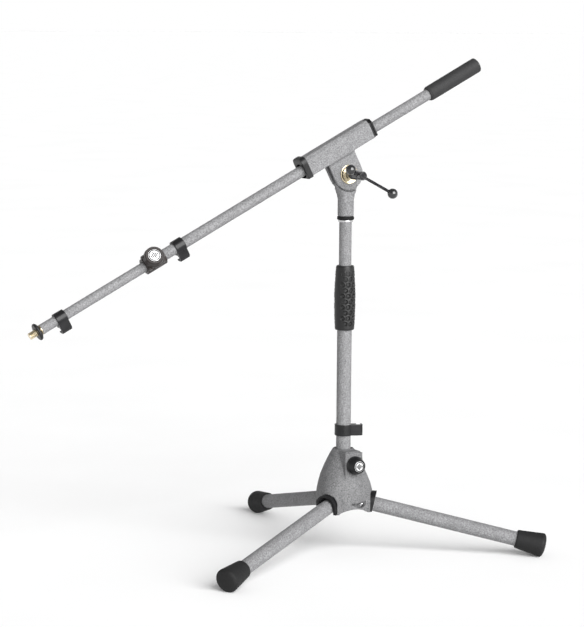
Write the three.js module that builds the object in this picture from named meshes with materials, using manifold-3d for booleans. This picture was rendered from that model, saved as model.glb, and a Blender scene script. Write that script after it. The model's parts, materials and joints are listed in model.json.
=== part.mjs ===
// Low tripod microphone stand with a telescopic boom arm. Millimetres, +Z up.
// Built about the column's axis, with the boom in the XZ plane and its grip end at +X, then moved so that
// the origin is on the floor under the middle of the whole stand.
import * as THREE from "three";
import { mergeVertices } from "three/addons/utils/BufferGeometryUtils.js";
import Module from "manifold-3d";

const wasm = await Module();
wasm.setup();

// ---------------------------------------------------------------- driving dimensions
const GAP = 0.3; // between pieces that touch
const COLUMN_X = 107.4; // the column's axis in the stand's own frame
const COLUMN_Y = -61.4;
const ROUND = 24; // sides of a full circle
const FINE_ROUND = 12; // sides of a small circle
const CURVE = 8; // steps of an arc in an outline

const columnRadius = 10; // outer tube
const columnWall = 1.2;
const columnBottom = 70;
const columnTop = 378;
const innerRadius = 8.5; // extension tube
const innerWall = 1;
const innerBottom = 150;
const innerTop = 478;

const legAzimuths = { right: -31.5, front: -151.5, rear: 88.5 };
const legSlope = 12.9; // degrees below level
const legRadius = 10;
const legWall = 1.2;
const pinOffset = 26; // leg hinge from the column's axis
const pinHeight = 71;
const pinRadius = 3;
const pinHalfLength = 17;
const legRise = 1.28; // leg's axis above its hinge, square to the leg
const legTubeStart = 9;
const legTubeEnd = 248.7;
const capStart = 217.7;
const capEnd = 257.7;
const capStartRadius = 12.6;
const capEndRadius = 16.6;

const hubTop = 146;
const hubBottom = 60;
const hubSleeveRadius = 14.6;
const slotHalfWidth = 11;
const archRadius = 15; // outside of the black slot liners
const archCentre = 71.8; // height of the arch's centre
const knobAzimuth = -88.5;
const knobHeight = 127;
const bossFace = 29.5;
const bossHalfWidth = 13.5;
const bossBottom = 104;
const linerStart = 34.2; // from the column's axis
const linerEnd = 42.4;
const underArchRadius = 40; // the scoop under the bell, between two legs
const underArchTop = 66.5;

const gripBottom = 310;
const gripTop = 398;

const pivotHeight = 522.5;
const boomPitch = 27.3; // degrees, grip end up
const boomOffset = 35.7; // boom's axis from the pivot
const boomRadius = 7.6;
const boomWall = 0.6;
const boomInnerRadius = 6.7;
const boomInnerWall = 0.8;
const boomTubeStart = -299; // along the boom from the pivot, grip end positive
const boomTubeEnd = 246;
const boomInnerStart = -478;
const boomInnerEnd = -238;
const blockStart = -50;
const blockEnd = 56;
const blockHalfWidth = 11.5;
const blockBelow = 10; // from the boom's axis
const blockAbove = 16;
const blockChamfer = 4.5;
const earRadius = 21.5;
const earOuter = 8.5;
const earInner = 4.7;
const bladeHalf = 3.2;
const bladeRadius = 19;
const neckFlat = 9; // from the column's axis to the neck's flat front and rear
const neckFlatReach = 37.8; // how far below the pivot the flats go
const earPocket = earRadius + 2.6;
const foldRelief = 22.3; // below the pivot, clear of the ears when the boom is folded down
const screwRadius = 4;
const handleReach = 48; // end of the T-handle's hub, to the front of the pivot
const barDistance = 42;
const barPitch = -27.5; // degrees below level, towards the far ball
const barNear = -18;
const barFar = 55;
const ballRadius = 7;
const collarStart = -317;
const collarEnd = -287;
const collarRadius = 11;
const boomKnobPlace = -304;
const boomKnobRoll = 32; // degrees above the front, about the boom

// ---------------------------------------------------------------- colours and materials
const paint = (color, roughness, metalness) => new THREE.MeshStandardMaterial({ color, roughness, metalness });
const grey = paint(0x85868a, 0.5, 0.3);
const blackPlastic = paint(0x1b1b1c, 0.5, 0);
const blackGloss = paint(0x0b0b0c, 0.15, 0);
const blackRubber = paint(0x1e1e1f, 0.85, 0);
const steel = paint(0xb9babc, 0.3, 1);
const brass = paint(0xc9b27a, 0.3, 1);
const badgeMetal = paint(0xe6e6e4, 0.3, 0.6);

const radians = THREE.MathUtils.degToRad;

// ---------------------------------------------------------------- solids
// A geometry as a closed solid: shared corners merged, and the slivers that merging leaves at an axis dropped.
function solidOf(geometry) {
  const bare = new THREE.BufferGeometry();
  const source = geometry.index ? geometry.toNonIndexed() : geometry;
  bare.setAttribute("position", source.getAttribute("position"));
  const merged = mergeVertices(bare, 1e-3);
  const corners = merged.index.array;
  const kept = [];
  for (let i = 0; i < corners.length; i += 3) {
    const [a, b, c] = corners.slice(i, i + 3);
    if (a !== b && b !== c && c !== a) kept.push(a, b, c);
  }
  const vertProperties = new Float32Array(merged.attributes.position.array);
  return new wasm.Manifold(new wasm.Mesh({ numProp: 3, vertProperties, triVerts: new Uint32Array(kept) }));
}

function geometryOf(solid) {
  const mesh = solid.getMesh();
  const geometry = new THREE.BufferGeometry();
  geometry.setAttribute("position", new THREE.BufferAttribute(new Float32Array(mesh.vertProperties), 3));
  geometry.setIndex(new THREE.BufferAttribute(new Uint32Array(mesh.triVerts), 1));
  geometry.computeVertexNormals();
  return geometry;
}

const join = (first, ...others) => geometryOf(others.reduce((sum, g) => sum.add(solidOf(g)), solidOf(first)));
const cut = (first, ...others) => geometryOf(others.reduce((left, g) => left.subtract(solidOf(g)), solidOf(first)));
const common = (first, second) => geometryOf(solidOf(first).intersect(solidOf(second)));

// Turned about Z. The profile is [radius, height] pairs, up the outside and down the inside.
function turned(profile, sides = ROUND) {
  const points = profile.map(([radius, height]) => new THREE.Vector2(radius, height));
  return new THREE.LatheGeometry(points, sides).rotateX(Math.PI / 2);
}

const rod = (radius, from, to, sides = ROUND) =>
  turned([[0, from], [radius, from], [radius, to], [0, to]], sides);

const tube = (outer, inner, from, to, sides = ROUND) =>
  turned([[outer, from], [outer, to], [inner, to], [inner, from], [outer, from]], sides);

// The same, lying along +X instead of +Z.
const alongX = (geometry) => geometry.rotateY(Math.PI / 2);
// The same, lying along -Y, so that heights count towards the front.
const alongFront = (geometry) => geometry.rotateX(Math.PI / 2);

const block = (x0, x1, y0, y1, z0, z1) =>
  new THREE.BoxGeometry(x1 - x0, y1 - y0, z1 - z0).translate((x0 + x1) / 2, (y0 + y1) / 2, (z0 + z1) / 2);

// An outline in X and Z, given a thickness in Y from y0 to y1.
function plate(outline, y0, y1) {
  const flat = new THREE.ExtrudeGeometry(outline, { depth: y1 - y0, bevelEnabled: false, curveSegments: CURVE });
  return flat.rotateX(Math.PI / 2).translate(0, y1, 0);
}

// An outline in Y and Z, given a length in X from x0 to x1.
function bar(outline, x0, x1) {
  const flat = new THREE.ExtrudeGeometry(outline, { depth: x1 - x0, bevelEnabled: false, curveSegments: CURVE });
  return flat.rotateX(Math.PI / 2).rotateZ(Math.PI / 2).translate(x0, 0, 0);
}

function polygon(points) {
  const outline = new THREE.Shape();
  points.forEach(([a, b], i) => (i ? outline.lineTo(a, b) : outline.moveTo(a, b)));
  outline.closePath();
  return outline;
}

function piece(name, geometry, material) {
  const mesh = new THREE.Mesh(geometry, material);
  mesh.name = name;
  return mesh;
}

function placed(pieces, position, turn = {}) {
  const group = new THREE.Group();
  group.add(...pieces);
  group.position.set(...position);
  group.rotation.set(radians(turn.x ?? 0), radians(turn.y ?? 0), radians(turn.z ?? 0));
  return group;
}

// ---------------------------------------------------------------- base
// The hub's outside: a bell that swells over each leg.
function hubOutside() {
  const profile = [
    [0, hubBottom],
    [37.2, hubBottom],
    [37.3, 78],
    [36.6, 87],
    [34.6, 98],
    [31.3, 110],
    [26.4, 122],
    [18.2, 139.5],
    [14.2, hubTop],
    [0, hubTop],
  ];
  const bell = turned(profile, 36);
  const place = bell.getAttribute("position");
  for (let i = 0; i < place.count; i++) {
    const radius = Math.hypot(place.getX(i), place.getY(i));
    const azimuth = Math.atan2(place.getY(i), place.getX(i));
    const overLeg = Math.max(0, Math.cos(3 * (azimuth - radians(legAzimuths.right)))) ** 1.5;
    const low = THREE.MathUtils.smoothstep(125 - place.getZ(i), 0, 38);
    const swell = radius > 1 ? 1 + (4 * overLeg * low) / radius : 1;
    place.setXYZ(i, place.getX(i) * swell, place.getY(i) * swell, place.getZ(i));
  }
  return bell;
}

// The hollow under the bell, between its wall and the sleeve that guides the column.
function hubHollow() {
  const profile = [
    [hubSleeveRadius, hubBottom - 5],
    [33, hubBottom - 5],
    [33, 82],
    [28.5, 101],
    [hubSleeveRadius, 117],
    [hubSleeveRadius, hubBottom - 5],
  ];
  return turned(profile, ROUND);
}

// An arch with straight sides, open below: radius, centre height, and how far down it goes.
function archOutline(radius, centre, bottom) {
  const outline = new THREE.Shape();
  outline.moveTo(radius, bottom);
  outline.lineTo(radius, centre);
  outline.absarc(0, centre, radius, 0, Math.PI, false);
  outline.lineTo(-radius, bottom);
  outline.closePath();
  return outline;
}

// The shallow recess that shows the end of a hinge pin: thin towards the column, deep round the pin.
const pinRecess = () =>
  polygon([
    [-15, 3.2],
    [-9, 0.4],
    [-3, -3.4],
    [2.5, -3.2],
    [5.5, 0],
    [6.4, 6],
    [0, 3.8],
  ]);

const turnedTo = (geometry, azimuth) => geometry.rotateZ(radians(azimuth));

function hubCasting() {
  const hollow = hubHollow();
  let shell = cut(hubOutside(), hollow);
  const boss = join(
    block(8, bossFace, -bossHalfWidth, bossHalfWidth, bossBottom, hubTop - 2.5),
    block(8, bossFace - 3, -bossHalfWidth + 2, bossHalfWidth - 2, hubTop - 3, hubTop - 1),
  );
  shell = join(shell, turnedTo(boss, knobAzimuth));
  const lugs = [];
  const slots = [];
  for (const azimuth of Object.values(legAzimuths)) {
    const lug = block(hubSleeveRadius - 1, 35, -pinHalfLength + 1, pinHalfLength - 1, hubBottom + 1, 92);
    lugs.push(turnedTo(lug, azimuth));
    const archWay = bar(archOutline(archRadius + GAP, archCentre, hubBottom - 5), linerStart - 0.7, 50);
    const legWay = bar(archOutline(slotHalfWidth, archCentre + 1, hubBottom - 5), hubSleeveRadius + 1, 50);
    const pinWay = turned(
      [
        [0, -pinHalfLength - 12],
        [pinRadius + GAP, -pinHalfLength - 12],
        [pinRadius + GAP, pinHalfLength],
        [0, pinHalfLength],
      ],
      FINE_ROUND,
    )
      .rotateX(-Math.PI / 2)
      .translate(pinOffset, 0, pinHeight);
    const recess = plate(pinRecess(), -pinHalfLength - 25, -pinHalfLength - 0.5).translate(pinOffset, 0, pinHeight);
    slots.push(...[archWay, legWay, pinWay, recess].map((way) => turnedTo(way, azimuth)));
    const underArch = alongX(rod(underArchRadius, 5, 60, 48)).translate(0, 0, underArchTop - underArchRadius);
    slots.push(turnedTo(underArch, azimuth + 60));
  }
  shell = join(shell, ...lugs.map((lug) => common(lug, hubOutside())));
  const bore = rod(columnRadius + GAP, hubBottom - 5, hubTop + 5, ROUND);
  const screwWay = alongX(rod(screwRadius + GAP, 8, 40, FINE_ROUND)).translate(0, 0, knobHeight);
  const spotFace = alongX(rod(15, bossFace, 50, ROUND)).translate(0, 0, knobHeight);
  return cut(shell, ...slots, bore, turnedTo(join(screwWay, spotFace), knobAzimuth));
}

function slotLiner() {
  const outline = archOutline(archRadius, archCentre, hubBottom);
  const way = archOutline(slotHalfWidth - 0.3, archCentre + 0.6, hubBottom - 3);
  const squareToLeg = block(0, linerEnd, -30, 30, -30, 30).rotateY(radians(legSlope)).translate(0, 0, archCentre);
  return cut(common(bar(outline, linerStart, 50), squareToLeg), bar(way, 30, 60));
}

const hingePin = () =>
  turned(
    [
      [0, -pinHalfLength],
      [pinRadius - 0.8, -pinHalfLength],
      [pinRadius, -pinHalfLength + 0.8],
      [pinRadius, pinHalfLength - 1],
      [0, pinHalfLength - 1],
    ],
    FINE_ROUND,
  ).rotateX(-Math.PI / 2);

function legKnuckle() {
  const eye = 8.6;
  const top = legRise + legRadius - 2.4;
  const bottom = legRise - legRadius + 2.4;
  const outline = new THREE.Shape();
  outline.moveTo(legTubeStart - GAP, bottom);
  outline.lineTo(legTubeStart - GAP, top);
  outline.lineTo(3, top);
  outline.absarc(0, 0, eye, radians(80), radians(280), false);
  outline.closePath();
  const lug = plate(outline, -8.6, 8.6);
  const plug = alongX(rod(legRadius - legWall - GAP, legTubeStart - 2, legTubeStart + 24, FINE_ROUND));
  const pinWay = rod(pinRadius + GAP, -20, 20, FINE_ROUND).rotateX(Math.PI / 2);
  return cut(join(lug, plug.translate(0, 0, legRise)), pinWay);
}

function footCap() {
  const bore = legRadius + GAP;
  const profile = [
    [bore, capStart],
    [capStartRadius - 0.8, capStart],
    [capStartRadius, capStart + 1.2],
    [capEndRadius, capEnd - 5],
    [capEndRadius - 0.7, capEnd - 2],
    [capEndRadius - 3.2, capEnd - 0.2],
    [capEndRadius - 7, capEnd + 1],
    [0, capEnd + 1.4],
    [0, legTubeEnd + GAP],
    [bore, legTubeEnd + GAP],
    [bore, capStart],
  ];
  const cap = alongX(turned(profile, ROUND)).translate(0, 0, legRise);
  const floor = block(-300, 300, -300, 300, -100, 0);
  floor.translate(-pinOffset, 0, -pinHeight).rotateY(radians(-legSlope));
  return cut(cap, floor);
}

function leg(side) {
  const azimuth = legAzimuths[side];
  const shaft = tube(legRadius, legRadius - legWall, legTubeStart, legTubeEnd);
  const pieces = [
    piece("leg_tube_" + side, alongX(shaft).translate(0, 0, legRise), grey),
    piece("leg_knuckle_" + side, legKnuckle(), blackPlastic),
    piece("foot_cap_" + side, footCap(), blackRubber),
  ];
  const sloped = placed(pieces, [pinOffset, 0, pinHeight], { y: legSlope });
  const liner = piece("slot_liner_" + side, slotLiner(), blackPlastic);
  const pin = placed([piece("hinge_pin_" + side, hingePin(), steel)], [pinOffset, 0, pinHeight]);
  return placed([sloped, liner, pin], [0, 0, 0], { z: azimuth });
}

// A clamping knob with its badge and screw, standing up +Z from its base at height 0.
function clampKnob(prefix, { length, baseRadius, faceRadius, badgeRadius, shank, shankRadius }) {
  const seat = badgeRadius + GAP;
  const body = turned([
    [0, 0],
    [baseRadius - 1, 0],
    [baseRadius, 1],
    [baseRadius, length * 0.42],
    [faceRadius + 0.9, length - 1],
    [faceRadius, length],
    [seat, length],
    [seat, length - 1.2],
    [0, length - 1.2],
  ]);
  const badge = turned([[0, length - 0.9], [badgeRadius, length - 0.9], [badgeRadius, length - 0.1], [0, length + 0.1]]);
  const screw = rod(shankRadius, -shank, 3, FINE_ROUND);
  const hole = rod(shankRadius + GAP, -1, 3 + GAP, FINE_ROUND);
  return [
    piece(prefix + "_knob", cut(body, hole), blackPlastic),
    piece(prefix + "_knob_badge", badge, badgeMetal),
    piece(prefix + "_knob_screw", screw, steel),
  ];
}

// Stands a group's +Z out level, towards an azimuth.
const facing = (pieces, azimuth, height, reach) =>
  placed([placed(pieces, [reach, 0, height], { y: 90 })], [0, 0, 0], { z: azimuth });

function base() {
  const hubKnob = clampKnob("hub", {
    length: 14,
    baseRadius: 12.5,
    faceRadius: 8.9,
    badgeRadius: 7.3,
    shank: 15.5,
    shankRadius: screwRadius,
  });
  const pad = rod(screwRadius, 0.2, 2.6, FINE_ROUND);
  return [
    piece("hub_casting", hubCasting(), grey),
    ...Object.keys(legAzimuths).map(leg),
    facing(hubKnob, knobAzimuth, knobHeight, bossFace + 0.8),
    facing([piece("column_pressure_pad", pad, blackPlastic)], knobAzimuth, knobHeight, columnRadius + 1.4),
  ];
}

// ---------------------------------------------------------------- cable clips
// A band round a tube along X, with a squared lug below it that holds a cable in a channel open to the rear.
function cableClip(tubeRadius, from, to, reach) {
  const inner = tubeRadius + GAP;
  const outer = inner + 2;
  const halfLug = 5.6;
  const band = alongX(rod(outer, from, to));
  const lug = bar(
    polygon([
      [-halfLug - 2, 0],
      [-halfLug - 2, -outer * 0.6],
      [-halfLug - 1, -reach + 1.6],
      [-halfLug + 0.6, -reach],
      [halfLug - 1.5, -reach],
      [halfLug, -reach + 1.5],
      [halfLug, 0],
    ]),
    from,
    to,
  );
  const cableHeight = -reach + 5.5;
  const cableRadius = 3.3;
  const channel = alongX(rod(cableRadius, from - 5, to + 5, FINE_ROUND)).translate(0, 0.6, cableHeight);
  const mouth = block(from - 5, to + 5, 0.6, halfLug + 5, cableHeight - 2.9, cableHeight + 2.9);
  const tubeWay = alongX(rod(inner, from - 5, to + 5));
  return cut(join(band, lug), channel, mouth, tubeWay);
}

// ---------------------------------------------------------------- column
function columnTube() {
  return tube(columnRadius, columnRadius - columnWall, columnBottom, columnTop);
}

function endPlug() {
  return turned([
    [0, columnBottom - 6],
    [columnRadius - 3, columnBottom - 6],
    [columnRadius - 0.4, columnBottom - 3],
    [columnRadius - 0.4, columnBottom - GAP],
    [columnRadius - columnWall - GAP, columnBottom - GAP],
    [columnRadius - columnWall - GAP, columnBottom + 12],
    [0, columnBottom + 12],
  ]);
}

const sleeveRadius = 11.6;
const sleeveBottom = 346;
const nutBottom = 340;
const nutRadius = 12.1;

function clutchGrip() {
  const wall = nutRadius + GAP;
  return turned([
    [columnRadius + 0.6, gripBottom],
    [12.7, gripBottom],
    [13.3, gripBottom + 1.5],
    [13.9, gripBottom + 15],
    [14.3, gripBottom + 32],
    [14.3, gripBottom + 52],
    [13.8, gripBottom + 68],
    [12.9, gripBottom + 81],
    [12.3, gripTop - 1.2],
    [11.4, gripTop],
    [innerRadius + 0.5, gripTop],
    [innerRadius + 0.5, gripTop - 4],
    [wall, gripTop - 4],
    [wall, nutBottom - GAP],
    [columnRadius + 0.6, nutBottom - 4],
    [columnRadius + 0.6, gripBottom],
  ]);
}

const clutchNut = () =>
  turned([
    [sleeveRadius + GAP - 1.2, nutBottom],
    [nutRadius, nutBottom],
    [nutRadius, gripTop - 4 - GAP],
    [innerRadius + 0.5, gripTop - 4 - GAP],
    [innerRadius + 0.5, gripTop - 8],
    [sleeveRadius + GAP - 0.1, gripTop - 12],
    [sleeveRadius + GAP - 0.1, sleeveBottom - 3],
    [sleeveRadius + GAP - 1.2, nutBottom],
  ]);

const clutchSleeve = () => tube(sleeveRadius - 0.1, columnRadius + GAP, sleeveBottom, columnTop - 2);

function clutchCollet() {
  const ring = turned([
    [innerRadius + 0.15, columnTop - 14],
    [columnRadius - columnWall - 0.1, columnTop - 14],
    [columnRadius - columnWall - 0.1, columnTop + GAP],
    [sleeveRadius - 0.6, columnTop + GAP],
    [sleeveRadius - 0.6, columnTop + 4],
    [innerRadius + 0.9, columnTop + 9],
    [innerRadius + 0.15, columnTop + 9],
    [innerRadius + 0.15, columnTop - 14],
  ]);
  return cut(ring, block(5, 20, -0.9, 0.9, columnTop - 20, columnTop + 15));
}

const extensionTube = () => tube(innerRadius, innerRadius - innerWall, innerBottom, innerTop);

const guideBush = () =>
  turned([
    [0, innerBottom - 8],
    [innerRadius - 1, innerBottom - 8],
    [innerRadius + 0.1, innerBottom - 6.5],
    [innerRadius + 0.1, innerBottom - GAP],
    [innerRadius - innerWall - GAP, innerBottom - GAP],
    [innerRadius - innerWall - GAP, innerBottom + 14],
    [0, innerBottom + 14],
  ]);

function column() {
  const clip = cableClip(columnRadius, -7.5, 7.5, 26);
  return [
    piece("column_outer_tube", columnTube(), grey),
    piece("column_end_plug", endPlug(), blackPlastic),
    placed(
      [placed([piece("column_cable_clip", clip, blackPlastic)], [0, 0, 0], { y: -90 })],
      [0, 0, 171.5],
      { z: -29 },
    ),
    piece("clutch_grip", clutchGrip(), blackRubber),
    piece("clutch_nut", clutchNut(), blackPlastic),
    piece("clutch_sleeve", clutchSleeve(), steel),
    piece("clutch_collet", clutchCollet(), blackPlastic),
    piece("column_inner_tube", extensionTube(), grey),
    piece("column_guide_bush", guideBush(), blackPlastic),
  ];
}

// ---------------------------------------------------------------- head
const neckBottom = 465.3;

function neckCasting() {
  const stem = turned([
    [0, neckBottom],
    [10.4, neckBottom],
    [11, neckBottom + 0.8],
    [11, 489],
    [12.4, 495],
    [15.4, 503],
    [16.6, 509],
    [16.6, 512],
    [0, 512],
  ]);
  const flats = [neckFlat, -30].map((from) => alongFront(rod(neckFlatReach, from, from + 30 - neckFlat, 48)));
  const pockets = [bladeHalf, -30].map((from) => alongFront(rod(earPocket, from, from + 30 - bladeHalf, 36)));
  const reliefs = [bladeHalf, -30].map((from) => block(0, 20, from, from + 30 - bladeHalf, -foldRelief, 0));
  const ways = [...flats, ...pockets, ...reliefs].map((way) => way.translate(0, 0, pivotHeight));
  const eye = new THREE.Shape();
  eye.moveTo(-14, -20);
  eye.absarc(0, 0, bladeRadius, radians(218), radians(-38), true);
  eye.lineTo(14, -20);
  eye.closePath();
  const blade = plate(eye, -bladeHalf, bladeHalf).translate(0, 0, pivotHeight);
  const screwWay = alongFront(rod(screwRadius + GAP, -20, 20, FINE_ROUND)).translate(0, 0, pivotHeight);
  const socket = rod(innerRadius + GAP, neckBottom - 5, innerTop + GAP);
  return cut(join(cut(stem, ...ways), blade), screwWay, socket);
}

function head() {
  const seal = turned([
    [innerRadius + GAP, 460.4],
    [11, 460.4],
    [11.6, 461.4],
    [11.6, 464],
    [11, 465],
    [innerRadius + GAP, 465],
    [innerRadius + GAP, 460.4],
  ]);
  const spring = tube(10, innerRadius + GAP, 457.4, 460.1);
  const disc = (y) => alongFront(tube(14, screwRadius + GAP, y, y + 0.9)).translate(0, 0, pivotHeight);
  return [
    piece("neck_casting", neckCasting(), grey),
    piece("neck_seal_ring", seal, blackRubber),
    piece("neck_spring_ring", spring, steel),
    piece("pivot_friction_disc_front", disc(bladeHalf + GAP), blackPlastic),
    piece("pivot_friction_disc_rear", disc(-bladeHalf - GAP - 0.9), blackPlastic),
  ];
}

// ---------------------------------------------------------------- boom clamp, in the boom's own axes about the pivot
// The block's section, in Y and Z about the boom's axis, drawn in by a margin.
function blockSection(margin) {
  const w = blockHalfWidth - margin;
  const low = -blockBelow + margin;
  const high = blockAbove - margin;
  const c = blockChamfer;
  return polygon([
    [-w, low],
    [w, low],
    [w, high - c],
    [w - c, high],
    [c - w, high],
    [-w, high - c],
  ]);
}

function clampBlock() {
  const body = bar(blockSection(0), blockStart, blockEnd).translate(0, 0, boomOffset);
  const earTop = boomOffset - blockBelow + 4;
  const earOutline = new THREE.Shape();
  earOutline.moveTo(earRadius, earTop);
  earOutline.lineTo(-earRadius, earTop);
  earOutline.lineTo(-earRadius, 0);
  earOutline.absarc(0, 0, earRadius, Math.PI, 2 * Math.PI, false);
  earOutline.closePath();
  const ears = [plate(earOutline, -earOuter, -earInner), plate(earOutline, earInner, earOuter)];
  const screwWay = alongFront(rod(screwRadius + GAP, -20, 20, FINE_ROUND));
  const boomWay = alongX(rod(10, blockStart - 5, blockEnd + 5)).translate(0, 0, boomOffset);
  const slit = block(blockStart - 5, blockEnd + 5, -earInner, earInner, boomOffset - blockBelow - 5, boomOffset);
  return cut(join(body, ...ears), screwWay, boomWay, slit);
}

// An end bush of the clamp: a flange about as large as the block's end, drawn in by a margin.
function clampBush(from, to, margin) {
  const flange = bar(blockSection(margin), from, to).translate(0, 0, boomOffset);
  const way = alongX(rod(boomRadius + GAP, from - 5, to + 5)).translate(0, 0, boomOffset);
  return cut(flange, way);
}

const boomLiner = () =>
  alongX(tube(9.7, boomRadius + GAP, blockStart + 1, blockEnd - 1)).translate(0, 0, boomOffset);

function clampScrew() {
  const hub = turned(
    [
      [0, -14.5],
      [screwRadius, -14.5],
      [screwRadius, earOuter + 2],
      [6.6, earOuter + 2],
      [6.9, earOuter + 4],
      [6.9, 26],
      [5.4, 36],
      [5.9, 41.5],
      [5.9, handleReach - 0.8],
      [5.1, handleReach],
      [0, handleReach],
    ],
    ROUND,
  );
  const barWay = alongX(rod(2.3, -20, 20, FINE_ROUND)).rotateY(radians(-barPitch));
  return cut(alongFront(hub), barWay.translate(0, -barDistance, 0));
}

const clampWasher = () => alongFront(tube(13, screwRadius + GAP, earOuter + GAP, earOuter + 1.7));

function clampNut() {
  const nut = alongFront(rod(7.5, -14, -earOuter - GAP, 6));
  return cut(nut, alongFront(rod(screwRadius + GAP, -20, 0, FINE_ROUND)));
}

// The T-handle's sliding bar along X, with a ball on each end.
function toggle() {
  const tail = ballRadius * 0.75;
  const shaft = alongX(rod(2, barNear - tail + 1.5, barFar + tail - 1.5, 16));
  const ball = (name, at, side) => {
    const whole = new THREE.SphereGeometry(ballRadius, 16, 10).rotateZ(Math.PI / 2).translate(at, 0, 0);
    const reach = [at - side * 20, at + side * (tail - 1.2)].sort((a, b) => a - b);
    return piece(name, cut(whole, alongX(rod(2 + GAP, ...reach, 16))), blackGloss);
  };
  const pieces = [
    piece("toggle_bar", shaft, steel),
    ball("toggle_ball_near", barNear, -1),
    ball("toggle_ball_far", barFar, 1),
  ];
  return placed(pieces, [0, -barDistance, 0], { y: -barPitch + boomPitch });
}

function boomClamp() {
  return [
    piece("boom_clamp_block", clampBlock(), grey),
    piece("clamp_bush_mic_end", clampBush(blockStart - 8.5, blockStart - GAP, -1.5), blackPlastic),
    piece("clamp_bush_grip_end", clampBush(blockEnd + GAP, blockEnd + 6, 0.3), blackPlastic),
    piece("boom_liner", boomLiner(), blackPlastic),
    placed([piece("clamp_screw", clampScrew(), blackGloss)], [0, 0, 0], { y: boomPitch }),
    piece("clamp_washer", clampWasher(), brass),
    piece("clamp_nut", clampNut(), steel),
    toggle(),
  ];
}

// ---------------------------------------------------------------- boom, along X with its axis at Z = 0
function boomGrip() {
  const bore = boomRadius + GAP;
  const start = 161;
  const end = 249;
  return turned([
    [bore, start],
    [9.2, start],
    [10.5, start + 3.5],
    [10.6, end - 4],
    [9.4, end - 1.2],
    [7, end],
    [0, end],
    [0, boomTubeEnd + GAP],
    [bore, boomTubeEnd + GAP],
    [bore, start],
  ]);
}

// The collar that joins the two boom tubes, with a flat saddle for its knob.
function boomCollar() {
  const barrel = turned([
    [boomInnerRadius + GAP, collarStart],
    [collarRadius - 1, collarStart],
    [collarRadius, collarStart + 1],
    [collarRadius, collarEnd - 1],
    [collarRadius - 1, collarEnd],
    [boomRadius + GAP, collarEnd],
    [boomRadius + GAP, boomTubeStart - GAP],
    [boomInnerRadius + GAP, boomTubeStart - GAP],
    [boomInnerRadius + GAP, collarStart],
  ]);
  const saddleHalf = 11.5;
  const saddle = block(boomKnobPlace - saddleHalf, boomKnobPlace + saddleHalf, -10, 10, 7.5, 13);
  const flanks = [-1, 1].map((side) =>
    block(boomKnobPlace - 3, boomKnobPlace + 3, side * 8.6 - 1.9, side * 8.6 + 1.9, 2, 13),
  );
  const turn = (geometry) => geometry.rotateX(radians(90 - boomKnobRoll));
  const screwWay = rod(3 + GAP, 0, 20, FINE_ROUND).translate(boomKnobPlace, 0, 0);
  const tubeWay = alongX(rod(boomInnerRadius + GAP, collarStart - 5, boomTubeStart - GAP + 1));
  const outerWay = alongX(rod(boomRadius + GAP, boomTubeStart - GAP, collarEnd + 5));
  return cut(join(alongX(barrel), turn(join(saddle, ...flanks))), turn(screwWay), tubeWay, outerWay);
}

function micStud() {
  return turned([
    [0, boomInnerStart - 17.5],
    [4.1, boomInnerStart - 17.5],
    [4.75, boomInnerStart - 16.8],
    [4.75, boomInnerStart - 0.9],
    [boomInnerRadius, boomInnerStart - 0.9],
    [boomInnerRadius, boomInnerStart - GAP],
    [boomInnerRadius - boomInnerWall - GAP, boomInnerStart - GAP],
    [boomInnerRadius - boomInnerWall - GAP, boomInnerStart + 15],
    [0, boomInnerStart + 15],
  ]);
}

const lockDisc = () =>
  turned([
    [4.75 + GAP, boomInnerStart - 7.6],
    [10.6, boomInnerStart - 7.6],
    [11.5, boomInnerStart - 6.7],
    [11.5, boomInnerStart - 3.4],
    [10.4, boomInnerStart - 2.2],
    [8, boomInnerStart - 1.2],
    [4.75 + GAP, boomInnerStart - 1.2],
    [4.75 + GAP, boomInnerStart - 7.6],
  ]);

const boomGuideBush = () =>
  turned([
    [0, boomInnerEnd - 12],
    [boomInnerRadius - boomInnerWall - GAP, boomInnerEnd - 12],
    [boomInnerRadius - boomInnerWall - GAP, boomInnerEnd + GAP],
    [boomInnerRadius + 0.1, boomInnerEnd + GAP],
    [boomInnerRadius + 0.1, boomInnerEnd + 6],
    [boomInnerRadius - 1, boomInnerEnd + 7],
    [0, boomInnerEnd + 7],
  ]);

function boom() {
  const innerTube = tube(boomInnerRadius, boomInnerRadius - boomInnerWall, boomInnerStart, boomInnerEnd);
  const outerTube = tube(boomRadius, boomRadius - boomWall, boomTubeStart, boomTubeEnd);
  const knob = clampKnob("boom", {
    length: 11,
    baseRadius: 13.6,
    faceRadius: 11.4,
    badgeRadius: 8.2,
    shank: 6.2,
    shankRadius: 3,
  });
  const knobTurn = { x: 90 - boomKnobRoll };
  return [
    piece("boom_outer_tube", alongX(outerTube), grey),
    piece("boom_grip", alongX(boomGrip()), blackRubber),
    piece("boom_cable_clip", cableClip(boomRadius, -269.5, -254.5, 19), blackPlastic),
    piece("boom_collar", boomCollar(), blackPlastic),
    placed([placed(knob, [boomKnobPlace, 0, 13.5])], [0, 0, 0], knobTurn),
    piece("boom_inner_tube", alongX(innerTube), grey),
    piece("boom_guide_bush", alongX(boomGuideBush()), blackPlastic),
    piece("mic_cable_clip", cableClip(boomInnerRadius, -455.5, -441.5, 19), blackPlastic),
    piece("mic_thread_stud", alongX(micStud()), brass),
    piece("mic_lock_disc", alongX(lockDisc()), blackPlastic),
  ];
}

// ---------------------------------------------------------------- the whole stand
const arm = placed([...boomClamp(), placed(boom(), [0, 0, boomOffset])], [0, 0, pivotHeight], { y: -boomPitch });
const stand = placed([...base(), ...column(), ...head(), arm], [COLUMN_X, COLUMN_Y, 0]);

const part = new THREE.Group();
part.add(stand);
export default part;
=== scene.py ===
"""Low tripod microphone stand with a telescopic boom: its looks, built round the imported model.

Each shape is drawn in millimetres, in the axes of the part it belongs to, and then put in place in metres.
"""

import json
import math
import bmesh
import bpy
from mathutils import Matrix, Vector


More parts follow.
